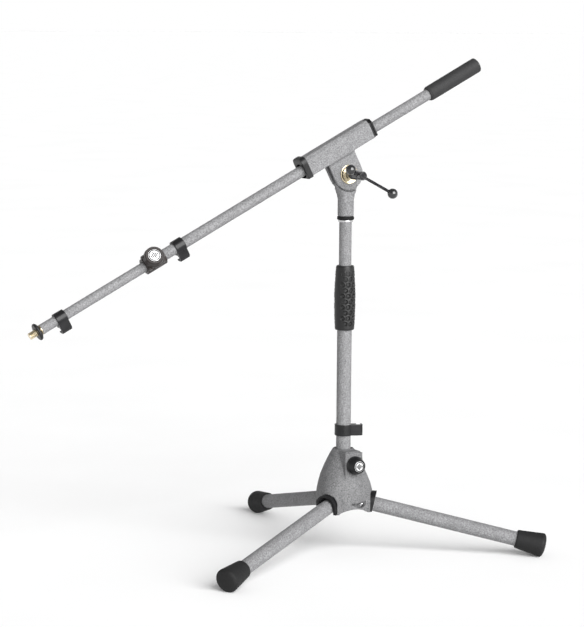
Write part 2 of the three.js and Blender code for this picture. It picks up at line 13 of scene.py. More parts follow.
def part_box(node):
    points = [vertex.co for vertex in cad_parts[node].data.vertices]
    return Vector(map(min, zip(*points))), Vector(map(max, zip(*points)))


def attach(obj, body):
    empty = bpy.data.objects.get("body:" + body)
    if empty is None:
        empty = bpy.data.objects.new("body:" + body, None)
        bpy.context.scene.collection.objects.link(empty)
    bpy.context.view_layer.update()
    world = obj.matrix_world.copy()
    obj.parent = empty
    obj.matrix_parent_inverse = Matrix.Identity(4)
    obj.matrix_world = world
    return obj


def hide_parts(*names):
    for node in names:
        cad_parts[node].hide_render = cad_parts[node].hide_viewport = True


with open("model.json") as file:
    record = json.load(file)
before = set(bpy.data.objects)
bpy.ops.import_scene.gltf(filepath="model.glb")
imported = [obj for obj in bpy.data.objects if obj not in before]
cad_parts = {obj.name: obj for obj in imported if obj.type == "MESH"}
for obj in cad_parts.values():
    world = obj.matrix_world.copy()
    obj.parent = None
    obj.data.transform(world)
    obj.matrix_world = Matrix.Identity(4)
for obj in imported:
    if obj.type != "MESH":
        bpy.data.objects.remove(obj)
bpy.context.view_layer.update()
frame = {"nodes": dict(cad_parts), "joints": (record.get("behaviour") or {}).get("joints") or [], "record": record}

# ------------------------ driving dimensions, in millimetres
MM = 0.001
ALONG = Vector((1, 0, 0))
ACROSS = Vector((0, 1, 0))
UP = Vector((0, 0, 1))
GAP = 0.3  # clearance between parts that fit together
PAST = 5  # how far a cutting shape passes the faces it cuts
OUTSIDE = 50  # from the column's axis, outside the hub all round
AROUND = 30  # half the reach of a shape that has to pass right through a small part
HOLE_HALF = 20  # half the length of a pin's or a screw's hole

COLUMN_RADIUS = 10
COLUMN_WALL = 1.2
EXTENSION_RADIUS = 8.5
EXTENSION_WALL = 1
BOOM_RADIUS = 7.6
BOOM_WALL = 0.6
BOOM_INNER_RADIUS = 6.7
BOOM_INNER_WALL = 0.8

LEG_SLOPE = 12.9  # degrees below level
LEG_RISE = 1.28  # the leg's axis above its hinge, square to the leg
LEG_RADIUS = 10
LEG_START = 9  # along the leg from its hinge
LEG_END = 248.7
CAP_START = 217.7
CAP_END = 257.7
CAP_MOUTH = 12.6
CAP_FLARE = 16.6
PIN_RADIUS = 3
PIN_HALF = 17
PIN_OFFSET = 26  # from the column's axis
PIN_HEIGHT = 71

HUB_TOP = 146
HUB_BOTTOM = 60
HUB_SLEEVE = 14.6
BELL_RADIUS = 37.2
BELL_BORE = 33
SWELL = 4  # how far the bell swells over each leg
SWELL_TOP = 125
SWELL_DEPTH = 38  # from where the swelling starts down to where it is full
ARCH_RADIUS = 15
ARCH_CENTRE = 71.8
ARCH_WAY = 11
COLLAR_WALL = 2.4  # thickness of the bell's edge round an arch
BOSS_ROOT = 8  # from the column's axis, inside the hub's sleeve
BOSS_FACE = 29.5
BOSS_HALF = 13.5
BOSS_BOTTOM = 104
LINER_START = 34.2  # from the column's axis
LINER_END = 42.4
UNDER_RADIUS = 40  # the scoop under the bell, between two legs
UNDER_TOP = 66.5
KNOB_HEIGHT = 127

COLUMN_BOTTOM = 70
COLUMN_TOP = 378
EXTENSION_BOTTOM = 150
EXTENSION_TOP = 478
GRIP_BOTTOM = 310
GRIP_TOP = 398
GRIP_BELLY = 14.3
NUT_RADIUS = 12.1
NUT_BOTTOM = 340

NECK_BOTTOM = 465.3
NECK_TOP = 512
NECK_RADIUS = 11
SHOULDER_RADIUS = 16.6
BLADE_HALF = 3.2  # half the thickness of the neck's eye
BLADE_RADIUS = 19
NECK_FLAT = 9  # from the column's axis to the neck's flat front and rear
NECK_FLAT_REACH = 37.8  # how far below the pivot the flats go
EAR_RADIUS = 21.5
EAR_OUTER = 8.5  # from the upright plane through the boom
EAR_INNER = 4.7
EAR_POCKET = EAR_RADIUS + 2.6
FOLD_RELIEF = 22.3  # below the pivot, clear of the ears when the boom is folded down
SCREW_RADIUS = 4

BLOCK_START = -50  # along the boom from the pivot, grip end positive
BLOCK_END = 56
BLOCK_HALF = 11.5
BLOCK_BELOW = 10
BLOCK_ABOVE = 16
BLOCK_CHAMFER = 4.5
BLOCK_BORE = 10
SKIRT_DEPTH = 4
HANDLE_REACH = 48  # in front of the pivot
BAR_DISTANCE = 42
BAR_RADIUS = 2
BAR_NEAR = -18  # the balls' centres, along the bar from the screw
BAR_FAR = 55
BALL_RADIUS = 7

COLLAR_START = -317
COLLAR_END = -287
COLLAR_RADIUS = 11
BOOM_SCREW_RADIUS = 3
COLLAR_SEAT = 13  # from the boom's axis to the flat under the knob
BOOM_KNOB_PLACE = -304
BOOM_TUBE_START = -299
BOOM_TUBE_END = 246
BOOM_INNER_START = -478
BOOM_INNER_END = -238
STUD_RADIUS = 4.75

SMOOTH_ANGLE = math.radians(38)  # edges sharper than this stay crisp
NEARLY_STRAIGHT = math.radians(86)  # half the angle between two edges that need no rounding
EDGE_SHARE = 0.48  # of an edge, the most that one rounded corner takes
FULL_TURN = 2 * math.pi


# ------------------------ places, from the frame
JOINTS = {joint["name"]: joint for joint in frame["joints"]}
BODY_OF = {
    node: body
    for body, nodes in frame["record"]["behaviour"]["bodies"].items()
    for node in nodes
}


def axes_at(origin, x_axis, z_axis):
    """Millimetres along the given axes, taken to metres in the stand's frame."""
    x = Vector(x_axis).normalized()
    z = Vector(z_axis).normalized()
    turn = Matrix((x, z.cross(x), z)).transposed().to_4x4()
    return Matrix.Translation(origin) @ turn @ Matrix.Scale(MM, 4)


def centre_of(node):
    low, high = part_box(node)
    return (low + high) / 2


def joint_place(name):
    return Vector(JOINTS[name]["pos_m"])


def joint_axis(name):
    return Vector(JOINTS[name]["axis"])


TO_X = Matrix.Rotation(math.pi / 2, 4, "Y")  # a turned shape's axis, from +Z to +X
TO_Y = Matrix.Rotation(-math.pi / 2, 4, "X")
TO_FRONT = Matrix.Rotation(math.pi / 2, 4, "X")

COLUMN_AXIS = centre_of("column_outer_tube")
STAND = Matrix.Translation((COLUMN_AXIS.x, COLUMN_AXIS.y, 0)) @ Matrix.Scale(MM, 4)
PIVOT = joint_place("boom_tilt")
BOOM_AXIS = joint_axis("boom_slide")
BOOM_UP = BOOM_AXIS.cross(ACROSS)
if BOOM_UP.z < 0:
    BOOM_UP.negate()
ARM = axes_at(PIVOT, BOOM_AXIS, BOOM_UP)
BOOM_OFFSET = (joint_place("boom_roll") - PIVOT).length / MM
BOOM = ARM @ Matrix.Translation((0, 0, BOOM_OFFSET))
HANDLE_PLANE = PIVOT + Vector((0, -BAR_DISTANCE * MM, 0))
BAR_WAY = joint_axis("toggle_slide")
TOGGLE = axes_at(HANDLE_PLANE, BAR_WAY, BAR_WAY.cross(ACROSS))
SCREW = axes_at(PIVOT, ALONG, UP)


def leg_axes(side):
    """Along the leg from its hinge, sloping down, with Y along the hinge."""
    hinge = joint_axis(f"leg_fold_{side}")
    level = axes_at(joint_place(f"leg_fold_{side}"), hinge.cross(UP), UP)
    return level @ Matrix.Rotation(math.radians(LEG_SLOPE), 4, "Y")


def hub_axes(side):
    """The stand's own axes, turned so that +X points along the leg."""
    outward = joint_axis(f"leg_fold_{side}").cross(UP)
    return Matrix.Rotation(math.atan2(outward.y, outward.x), 4, "Z")


SIDES = ("right", "front", "rear")
KNOB_WAY = joint_axis("hub_knob_turn")
KNOB_TURN = Matrix.Rotation(math.atan2(KNOB_WAY.y, KNOB_WAY.x), 4, "Z")


# ------------------------ outlines
def rounded(points, radius=0.0, closed=False, steps=4):
    """An outline with its corners rounded. A point's own third number overrides the radius."""
    rows = [(Vector(p[:2]), p[2] if len(p) > 2 else radius) for p in points]
    made = []
    for i, (corner, wanted) in enumerate(rows):
        inner = closed or 0 < i < len(rows) - 1
        back = rows[i - 1][0] - corner
        ahead = rows[(i + 1) % len(rows)][0] - corner
        if not inner or wanted <= 0 or min(back.length, ahead.length) < 1e-6:
            made.append(corner)
            continue
        half = back.angle(ahead) / 2
        if half > NEARLY_STRAIGHT:
            made.append(corner)
            continue
        reach = min(wanted / math.tan(half), EDGE_SHARE * back.length, EDGE_SHARE * ahead.length)
        start = corner + back.normalized() * reach
        end = corner + ahead.normalized() * reach
        for step in range(steps + 1):
            t = step / steps
            made.append(start.lerp(corner, t).lerp(corner.lerp(end, t), t))
    return made


def arc(centre, radius, start, end, steps=24):
    """Points along an arc, with its angles in degrees."""
    angles = [math.radians(start + (end - start) * i / steps) for i in range(steps + 1)]
    return [(centre[0] + radius * math.cos(a), centre[1] + radius * math.sin(a)) for a in angles]


def polygon(radius, corners):
    return arc((0, 0), radius, 0, 360 * (1 - 1 / corners), corners - 1)


# ------------------------ meshes
def mesh_from(bm):
    """The mesh of a closed shape, with its faces turned outward."""
    bmesh.ops.remove_doubles(bm, verts=bm.verts, dist=1e-5)
    bmesh.ops.recalc_face_normals(bm, faces=bm.faces)
    mesh = bpy.data.meshes.new("work")
    bm.to_mesh(mesh)
    bm.free()
    return mesh


def turned(profile, radius=0.0, sides=72, closed=False, shape=None):
    """A shape turned about Z from [radius, height] points. shape(r, angle, z) may move a point."""
    points = rounded(profile, radius, closed)
    bm = bmesh.new()
    rings = []
    for r, z in points:
        if r < 1e-4:
            rings.append([bm.verts.new((0, 0, z))])
            continue
        ring = []
        for i in range(sides):
            angle = FULL_TURN * i / sides
            at = shape(r, angle, z) if shape else (r * math.cos(angle), r * math.sin(angle), z)
            ring.append(bm.verts.new(at))
        rings.append(ring)
    pairs = list(zip(rings, rings[1:] + rings[:1] if closed else rings[1:]))
    for low, high in pairs:
        if len(low) == 1 and len(high) == 1:
            continue
        for i in range(sides):
            j = (i + 1) % sides
            corners = [low[i % len(low)], low[j % len(low)], high[j % len(high)], high[i % len(high)]]
            bm.faces.new(list(dict.fromkeys(corners)))
    return mesh_from(bm)


def pipe(outer, inner, start, end, edge=0.25, sides=72):
    corners = [(outer, start), (outer, end), (inner, end), (inner, start)]
    return turned(corners, edge, sides, closed=True)


def rod(radius, start, end, edge=0.0, sides=48):
    return turned([(0, start), (radius, start), (radius, end), (0, end)], edge, sides)


def cross_hole(radius, sides=32):
    """What a pin or a screw of this radius needs cut for it, along Y through the origin."""
    return moved(rod(radius + GAP, -HOLE_HALF, HOLE_HALF, sides=sides), TO_FRONT)


def long_hole(radius, start, end, sides=64):
    """What has to be cut for a round way along X that is open at both ends."""
    return moved(rod(radius, start - PAST, end + PAST, sides=sides), TO_X)


def prism(outline, start, end, along):
    """A flat outline made solid: it lies square to the axis named by along, from start to end of it."""
    def at(point, depth):
        a, b = point[0], point[1]
        return {"X": (depth, a, b), "Y": (a, depth, b), "Z": (a, b, depth)}[along]

    bm = bmesh.new()
    first = [bm.verts.new(at(p, start)) for p in outline]
    second = [bm.verts.new(at(p, end)) for p in outline]
    bm.faces.new(first)
    bm.faces.new(second)
    for i in range(len(outline)):
        j = (i + 1) % len(outline)
        bm.faces.new([first[i], first[j], second[j], second[i]])
    return mesh_from(bm)


def block(x0, x1, y0, y1, z0, z1):
    return prism([(x0, y0), (x1, y0), (x1, y1), (x0, y1)], z0, z1, "Z")


def moved(mesh, matrix):
    mesh.transform(matrix)
    return mesh


def put(name, data):
    """A new object in the scene."""
    obj = bpy.data.objects.new(name, data)
    bpy.context.scene.collection.objects.link(obj)
    return obj


def worked(mesh, *settings):
    """The mesh after modifiers, each given as (type, {setting: value})."""
    obj = put("work", mesh)
    for kind, values in settings:
        modifier = obj.modifiers.new(kind.lower(), kind)
        for key, value in values.items():
            setattr(modifier, key, value)
    bpy.context.view_layer.update()
    depsgraph = bpy.context.evaluated_depsgraph_get()
    made = bpy.data.meshes.new_from_object(obj.evaluated_get(depsgraph))
    bpy.data.objects.remove(obj)
    bpy.data.meshes.remove(mesh)
    return made


def boolean(operation, base, tools):
    others = [put("tool", tool) for tool in tools]
    settings = [
        ("BOOLEAN", {"operation": operation, "solver": "MANIFOLD", "object": other})
        for other in others
    ]
    made = worked(base, *settings)
    for other in others:
        mesh = other.data
        bpy.data.objects.remove(other)
        bpy.data.meshes.remove(mesh)
    return made


def joined(base, *others):
    return boolean("UNION", base, others)


def cut(base, *others):
    return boolean("DIFFERENCE", base, others)


def overlap(base, other):
    return boolean("INTERSECT", base, [other])


def softened(mesh, voxel, passes):
    """A solid as it leaves a mould, with every edge and corner slightly rounded."""
    remesh = ("REMESH", {"mode": "VOXEL", "voxel_size": voxel, "use_smooth_shade": True})
    return worked(mesh, remesh, ("SMOOTH", {"factor": 0.5, "iterations": passes}))


def bevelled(mesh, width):
    bevel = {"width": width, "segments": 3, "limit_method": "ANGLE", "angle_limit": math.radians(40)}
    return worked(mesh, ("BEVEL", bevel))


def several(meshes):
    """Separate solids as one mesh."""
    bm = bmesh.new()
    for mesh in meshes:
        bm.from_mesh(mesh)
        bpy.data.meshes.remove(mesh)
    made = bpy.data.meshes.new("work")
    bm.to_mesh(made)
    bm.free()
    return made


# ------------------------ pieces
def add_piece(name, mesh, axes, material, body):
    """Puts a mesh in place as a piece of the stand, and lets it move with a body."""
    mesh.transform(axes)
    mesh.name = name
    mesh.shade_smooth()
    mesh.set_sharp_from_angle(angle=SMOOTH_ANGLE)
    mesh.materials.clear()
    mesh.materials.append(material)
    obj = put(name, mesh)
    weighted = obj.modifiers.new("normals", "WEIGHTED_NORMAL")
    weighted.keep_sharp = True
    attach(obj, body)
    return obj


def stand_for(node, mesh, axes, material):
    """A finished piece in place of a CAD node, on the same body and with the given material; the node is hidden.
    """
    obj = add_piece(f"{node}_finished", mesh, axes, material, BODY_OF[node])
    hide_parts(node)
    return obj


def add_detail(name, node, mesh, axes, material):
    """A small extra piece that moves with a node's body."""
    return add_piece(name, mesh, axes, material, BODY_OF[node])


# ------------------------ materials
NOISE_LOW = 0.3  # nearly all of a noise texture's values lie between these two
NOISE_HIGH = 0.7


def colour_ramp(tree, value, stops):
    """Colours at places along a value, each stop given as (place, colour)."""
    node = tree.nodes.new("ShaderNodeValToRGB")
    elements = node.color_ramp.elements
    while len(elements) < len(stops):
        elements.new(0.5)
    for element, (position, colour) in zip(elements, stops):
        element.position = position
        element.color = (*colour, 1)
    tree.links.new(value, node.inputs["Fac"])
    return node.outputs["Color"]


class Surface:
    """A material being made, with its shader and short ways to add nodes."""

    def __init__(self, name, **values):
        self.material = bpy.data.materials.new(name)
        self.material.use_nodes = True
        self.tree = self.material.node_tree
        self.shader = self.tree.nodes["Principled BSDF"]
        self.place = self.tree.nodes.new("ShaderNodeTexCoord").outputs["Object"]
        self.set(self.shader, **values)

    def set(self, node, **values):
        """Gives a node's inputs their values, or links them to other nodes' outputs."""
        for key, value in values.items():
            socket = node.inputs[key.replace("_", " ")]
            if isinstance(value, bpy.types.NodeSocket):
                self.tree.links.new(value, socket)
            else:
                socket.default_value = value

    def add(self, kind, output, **values):
        node = self.tree.nodes.new(f"ShaderNode{kind}")
        self.set(node, **values)
        return node.outputs[output]

    def stretched(self, scale):
        return self.add("Mapping", "Vector", Vector=self.place, Scale=scale)

    def noise(self, scale, detail, roughness=0.5, place=None):
        place = place or self.place
        return self.add("TexNoise", "Fac", Vector=place, Scale=scale, Detail=detail, Roughness=roughness)

    def ramp(self, value, *stops):
        return colour_ramp(self.tree, value, stops)

    def between(self, value, low, high):
        noise_range = {"From_Min": NOISE_LOW, "From_Max": NOISE_HIGH}
        return self.add("MapRange", "Result", Value=value, To_Min=low, To_Max=high, **noise_range)

    def multiplied(self, first, second):
        node = self.tree.nodes.new("ShaderNodeMix")
        node.data_type = "RGBA"
        node.blend_type = "MULTIPLY"
        self.set(node, Factor=1.0, A=first, B=second)
        return node.outputs["Result"]

    def bumped(self, height, depth, strength, **under):
        return self.add("Bump", "Normal", Height=height, Distance=depth, Strength=strength, **under)

    def drive(self, **outputs):
        self.set(self.shader, **outputs)
        return self.material


def grey(value, tint=1.02):
    return (value, value, value * tint)


def speckled_paint(name, shade):
    """Grey structured powder paint: a fine grain, light and dark specks, and a faint cloudiness."""
    surface = Surface(name, Metallic=0.0, Specular_IOR_Level=0.22)
    grain = surface.noise(560, 4, 0.62)
    specks = surface.ramp(grain, (0.3, grey(shade * 0.5)), (0.5, grey(shade)), (0.7, grey(shade * 1.5)))
    cloud = surface.ramp(surface.noise(70, 3), (0.3, grey(0.86, 1)), (0.7, grey(1.0, 1)))
    colour = surface.multiplied(specks, cloud)
    rough = surface.between(grain, 0.5, 0.7)
    pores = surface.bumped(surface.noise(2100, 2), 0.00006, 0.5)
    normal = surface.bumped(grain, 0.00012, 0.6, Normal=pores)
    return surface.drive(Base_Color=colour, Roughness=rough, Normal=normal)


def rubber(name, shade, grain_scale, depth, shine=0.22, smooth=0.0):
    """Dark rubber with a grained skin and dusty high spots."""
    surface = Surface(name, Specular_IOR_Level=shine)
    grain = surface.noise(grain_scale, 3, 0.6)
    wear = surface.noise(110, 4)
    skin = surface.ramp(grain, (0.32, grey(shade * 0.72)), (0.68, grey(shade * 1.4)))
    dust = surface.ramp(wear, (0.3, grey(0.82, 1)), (0.72, grey(1.0, 1)))
    colour = surface.multiplied(skin, dust)
    rough = surface.between(wear, 0.55 - smooth, 0.74 - smooth)
    return surface.drive(Base_Color=colour, Roughness=rough, Normal=surface.bumped(grain, depth, 0.8))


def moulded_plastic(name, colour, rough_low, rough_high):
    """Black moulded plastic with the fine etched grain of its mould."""
    surface = Surface(name, Specular_IOR_Level=0.3)
    etched = surface.noise(1700, 2, 0.6)
    flow = surface.noise(90, 3)
    dark = tuple(c * 0.8 for c in colour)
    light = tuple(c * 1.35 for c in colour)
    tone = surface.ramp(flow, (0.3, dark), (0.7, light))
    return surface.drive(
        Base_Color=tone,
        Roughness=surface.between(flow, rough_low, rough_high),
        Normal=surface.bumped(etched, 0.00004, 0.5),
    )


def glossy_plastic():
    """Polished black plastic with faint handling marks."""
    surface = Surface("toggle_gloss_black", Specular_IOR_Level=0.6, Coat_Weight=0.6, Coat_Roughness=0.04)
    smears = surface.noise(160, 4, 0.65)
    tone = surface.ramp(smears, (0.3, (0.004, 0.004, 0.0045)), (0.7, (0.009, 0.009, 0.01)))
    return surface.drive(Base_Color=tone, Roughness=surface.between(smears, 0.06, 0.16))


def turned_metal(name, dark, light, rough_low, rough_high):
    """Bare metal with fine lines from turning or drawing, and a slightly uneven tarnish."""
    surface = Surface(name, Metallic=1.0)
    lines = surface.noise(1.0, 3, 0.6, surface.stretched((900, 900, 60)))
    tarnish = surface.noise(220, 4)
    tone = surface.ramp(tarnish, (0.3, dark), (0.7, light))
    return surface.drive(
        Base_Color=tone,
        Roughness=surface.between(tarnish, rough_low, rough_high),
        Normal=surface.bumped(lines, 0.00002, 0.4),
    )


GREY_PAINT = speckled_paint("grey_structured_paint", 0.19)
# A darker copy of the grey paint, for the hub only: painted shade, standing in for the lesser light that falls on
# the bell
SHADED_HUB_PAINT = speckled_paint("grey_paint_painted_shade_hub", 0.14)
CLUTCH_RUBBER = rubber("clutch_grip_rubber", 0.009, 1100, 0.00005, shine=0.36, smooth=0.2)
GRIP_FOAM = rubber("boom_grip_foam", 0.026, 1000, 0.0003)
FOOT_RUBBER = rubber("foot_rubber", 0.011, 900, 0.00012)
SEAL_RUBBER = rubber("seal_rubber", 0.005, 1400, 0.00003)
BLACK_PLASTIC = moulded_plastic("black_moulded_plastic", (0.005, 0.005, 0.0055), 0.3, 0.42)
CLIP_PLASTIC = moulded_plastic("clip_plastic", (0.007, 0.007, 0.0078), 0.26, 0.36)
COLLAR_PLASTIC = moulded_plastic("collar_plastic", (0.017, 0.013, 0.012), 0.3, 0.42)
GLOSS_BLACK = glossy_plastic()
STEEL = turned_metal("bright_steel", (0.50, 0.50, 0.51), (0.66, 0.66, 0.67), 0.2, 0.34)
DARK_STEEL = turned_metal("dark_steel", (0.03, 0.03, 0.032), (0.06, 0.06, 0.062), 0.16, 0.28)
BRASS = turned_metal("pale_brass", (0.62, 0.52, 0.34), (0.80, 0.70, 0.50), 0.14, 0.28)
BADGE_SILVER = turned_metal("badge_silver", (0.66, 0.66, 0.67), (0.8, 0.8, 0.8), 0.36, 0.48)


# ------------------------ hub
def hub_bell():
    """The hub's outside: a bell that swells over each leg."""
    profile = [
        (0, HUB_BOTTOM), (BELL_RADIUS, HUB_BOTTOM), (BELL_RADIUS + 0.15, 70),
        (BELL_RADIUS, 80), (36.3, 88.5), (34.6, 98), (31.4, 110), (26.4, 122.5),
        (22.4, 131), (18.2, 139.5), (14.2, HUB_TOP), (0, HUB_TOP),
    ]
    leg_angle = hub_axes("right").to_euler().z

    def swollen(r, angle, z):
        over_leg = max(0.0, math.cos(len(SIDES) * (angle - leg_angle))) ** 1.5
        low = min(1.0, max(0.0, (SWELL_TOP - z) / SWELL_DEPTH))
        wide = r + SWELL * over_leg * low * low * (3 - 2 * low) if r > 1 else r
        return (wide * math.cos(angle), wide * math.sin(angle), z)

    return turned(profile, 2.0, 96, shape=swollen)


def arch_outline(radius, centre, bottom):
    return [(radius, bottom), *arc((0, centre), radius, 0, 180), (-radius, bottom)]


def pin_recess():
    """The hollow in the hub in front of a pin's end, with the pin's axis at its origin."""
    hollow = [
        (-15, 3.2), (-9, 0.4, 3), (-3, -3.4, 3), (2.5, -3.2, 3), (5.5, 0, 2), (6.4, 6, 0.4),
        (0, 3.8, 6),
    ]
    return prism(rounded(hollow, closed=True), -PIN_HALF - 25, -PIN_HALF - 0.5, "Y")


def hub_ways(side):
    """What is cut from the hub for one leg: its arch, slot, pin, pin recess and the scoop beside it."""
    bottom = HUB_BOTTOM - PAST
    arch = arch_outline(ARCH_RADIUS + GAP, ARCH_CENTRE, bottom)
    slot = arch_outline(ARCH_WAY, ARCH_CENTRE + 1, bottom)
    at_pin = Matrix.Translation((PIN_OFFSET, 0, PIN_HEIGHT))
    pin_way = moved(rod(PIN_RADIUS + GAP, -PIN_HALF, PIN_HALF + 12, sides=32), TO_FRONT)
    scoop = moved(rod(UNDER_RADIUS, 5, 60, sides=96), TO_X)
    between_legs = Matrix.Rotation(math.radians(60), 4, "Z")
    ways = [
        prism(arch, LINER_START - 0.7, OUTSIDE, "X"),
        prism(slot, HUB_SLEEVE + 1, OUTSIDE, "X"),
        moved(pin_way, at_pin),
        moved(pin_recess(), at_pin),
        moved(scoop, between_legs @ Matrix.Translation((0, 0, UNDER_TOP - UNDER_RADIUS))),
    ]
    return [moved(way, hub_axes(side)) for way in ways]


def arch_collars():
    """The thickened edge of the bell round each leg's arch."""
    outline = arch_outline(ARCH_RADIUS + COLLAR_WALL, ARCH_CENTRE, HUB_BOTTOM)
    return [moved(prism(outline, 26, LINER_END - 4, "X"), hub_axes(side)) for side in SIDES]


def hub_casting():
    """The cast bell with its boss and lugs, carved for the column, the legs and the knob's screw."""
    bottom = HUB_BOTTOM - PAST
    hollow = [(HUB_SLEEVE, bottom), (BELL_BORE, bottom), (BELL_BORE, 82), (28.5, 101), (HUB_SLEEVE, 117)]
    shell = cut(hub_bell(), turned(hollow, closed=True))
    boss = block(BOSS_ROOT, BOSS_FACE, -BOSS_HALF, BOSS_HALF, BOSS_BOTTOM, HUB_TOP - 2.5)
    step = block(BOSS_ROOT, BOSS_FACE - 3, 2 - BOSS_HALF, BOSS_HALF - 2, HUB_TOP - 3, HUB_TOP - 1)
    lugs = []
    for side in SIDES:
        lug = block(HUB_SLEEVE - 1, 35, 1 - PIN_HALF, PIN_HALF - 1, HUB_BOTTOM + 1, 92)
        lugs.append(overlap(moved(lug, hub_axes(side)), hub_bell()))
    shell = joined(shell, moved(boss, KNOB_TURN), moved(step, KNOB_TURN), *lugs, *arch_collars())
    ways = [way for side in SIDES for way in hub_ways(side)]
    bore = rod(COLUMN_RADIUS + GAP, bottom, HUB_TOP + PAST, sides=72)
    lead_in = turned([(0, HUB_TOP - 1.5), (11, HUB_TOP - 1.5), (13, HUB_TOP + 2), (0, HUB_TOP + 2)])
    at_knob = KNOB_TURN @ Matrix.Translation((0, 0, KNOB_HEIGHT)) @ TO_X
    screw_way = moved(rod(SCREW_RADIUS + GAP, BOSS_ROOT, 40, sides=32), at_knob)
    spot_face = moved(rod(15, BOSS_FACE, OUTSIDE), at_knob)
    carved = cut(shell, *ways, bore, lead_in, screw_way, spot_face)
    # The hub gets the darker copy of the grey paint: painted shade on the bell
    stand_for("hub_casting", softened(carved, 0.6, 4), STAND, SHADED_HUB_PAINT)


def slot_liner(side):
    """The black arch that lines a leg's slot, with its outer face square to the leg."""
    outline = arch_outline(ARCH_RADIUS, ARCH_CENTRE, HUB_BOTTOM)
    way = arch_outline(ARCH_WAY - 0.3, ARCH_CENTRE + 0.6, HUB_BOTTOM - 3)
    slope = Matrix.Rotation(math.radians(LEG_SLOPE), 4, "Y")
    square_to_leg = Matrix.Translation((0, 0, ARCH_CENTRE)) @ slope
    within = moved(block(0, LINER_END, -AROUND, AROUND, -AROUND, AROUND), square_to_leg)
    arch = overlap(prism(outline, LINER_START, OUTSIDE, "X"), within)
    liner = cut(arch, prism(way, 30, 60, "X"))
    stand_for(f"slot_liner_{side}", softened(liner, 0.4, 3), STAND @ hub_axes(side), BLACK_PLASTIC)


def hinge_pin(side):
    """A plain pin, domed at its visible end."""
    near = -PIN_HALF
    far = PIN_HALF - 1
    profile = [(0, near), (1.4, near), (PIN_RADIUS, near + 1.1), (PIN_RADIUS, far), (0, far)]
    axes = STAND @ hub_axes(side) @ Matrix.Translation((PIN_OFFSET, 0, PIN_HEIGHT)) @ TO_Y
    stand_for(f"hinge_pin_{side}", turned(profile, 0.5, 40), axes, STEEL)


# ------------------------ legs
def leg_tube(side):
    tube = pipe(LEG_RADIUS, LEG_RADIUS - COLUMN_WALL, LEG_START, LEG_END)
    axes = leg_axes(side) @ Matrix.Translation((0, 0, LEG_RISE)) @ TO_X
    stand_for(f"leg_tube_{side}", tube, axes, GREY_PAINT)


def leg_knuckle(side):
    """A plug in the leg's inner end, with an eye for the hinge pin."""
    eye = 8.6
    flat = LEG_RADIUS - 2.4
    start = LEG_START - GAP
    outline = [
        (start, LEG_RISE - flat), (start, LEG_RISE + flat), (3, LEG_RISE + flat),
        *arc((0, 0), eye, 80, 280),
    ]
    plug = moved(rod(LEG_RADIUS - COLUMN_WALL - GAP, LEG_START - 2, LEG_START + 24), TO_X)
    plug = moved(plug, Matrix.Translation((0, 0, LEG_RISE)))
    knuckle = cut(joined(prism(outline, -eye, eye, "Y"), plug), cross_hole(PIN_RADIUS))
    stand_for(f"leg_knuckle_{side}", softened(knuckle, 0.45, 3), leg_axes(side), BLACK_PLASTIC)


def foot_cap(side):
    """A rubber boot that widens to a rounded end, cut flat where it stands on the floor."""
    bore = LEG_RADIUS + GAP
    seat = LEG_END + GAP
    profile = [
        (bore, CAP_START, 0), (CAP_MOUTH - 0.6, CAP_START, 0.5), (CAP_MOUTH, CAP_START + 1.2, 0.6),
        (CAP_MOUTH + 0.6, CAP_START + 6.5, 3), (CAP_FLARE - 0.2, CAP_END - 6, 6),
        (CAP_FLARE, CAP_END - 2.6, 3), (13.4, CAP_END - 0.2, 3), (9.6, CAP_END + 1, 2),
        (0, CAP_END + 1.4, 0), (0, seat, 0), (bore, seat, 0), (bore, CAP_START, 0),
    ]
    cap = turned(profile, 0.0, 96)
    cap = moved(moved(cap, TO_X), Matrix.Translation((0, 0, LEG_RISE)))
    axes = leg_axes(side)
    below_floor = block(-500, 500, -500, 500, -100, 0)
    below_floor = moved(below_floor, axes.inverted() @ Matrix.Scale(MM, 4))
    stand_for(f"foot_cap_{side}", softened(cut(cap, below_floor), 0.6, 2), axes, FOOT_RUBBER)


# ------------------------ knobs
def badge_emblem(radius):
    """A ring and five bars of differing height, like a level meter."""
    thick = 0.2
    pitch = radius * 0.27
    half_width = radius * 0.095
    parts = [pipe(radius * 0.94, radius * 0.76, 0, thick, 0.04, 64)]
    for i, height in enumerate((0.34, 0.66, 0.96, 0.56, 0.28)):
        x = (i - 2) * pitch
        half_height = radius * height * 0.6
        parts.append(block(x - half_width, x + half_width, -half_height, half_height, 0, thick))
    return several(parts)


def clamp_knob(prefix, axes, material, length, base, face, badge, shank, shank_radius):
    """A tapered knob with a badge let into its face, and its screw."""
    seat = badge + GAP
    recess = length - 1.2
    screw_top = 3
    body = [
        (0, 0), (base - 0.9, 0, 0.3), (base, 0.9, 0.5), (base, length * 0.36, 0.8),
        (base - 0.5, length * 0.42, 0.5), (face + 0.9, length - 1.1, 0.8),
        (face, length, 0.5), (seat + 0.5, length, 0.3), (seat, length - 0.5, 0.2),
        (seat, recess, 0.1), (0, recess),
    ]
    hole = rod(shank_radius + GAP, -1, screw_top + GAP, sides=40)
    stand_for(f"{prefix}_knob", cut(turned(body, 0, 96), hole), axes, material)
    plate = [(0, length - 0.9), (badge, length - 0.9, 0.1), (badge, length - 0.2, 0.2), (0, length)]
    stand_for(f"{prefix}_knob_badge", turned(plate, 0.1, 96), axes, BADGE_SILVER)
    emblem_axes = axes @ Matrix.Translation((0, 0, length - 0.12))
    add_detail(f"{prefix}_knob_emblem", f"{prefix}_knob", badge_emblem(badge), emblem_axes, BLACK_PLASTIC)
    screw = threaded(shank_radius, -shank, screw_top, pitch=1.0, depth=0.35)
    stand_for(f"{prefix}_knob_screw", screw, axes, STEEL)


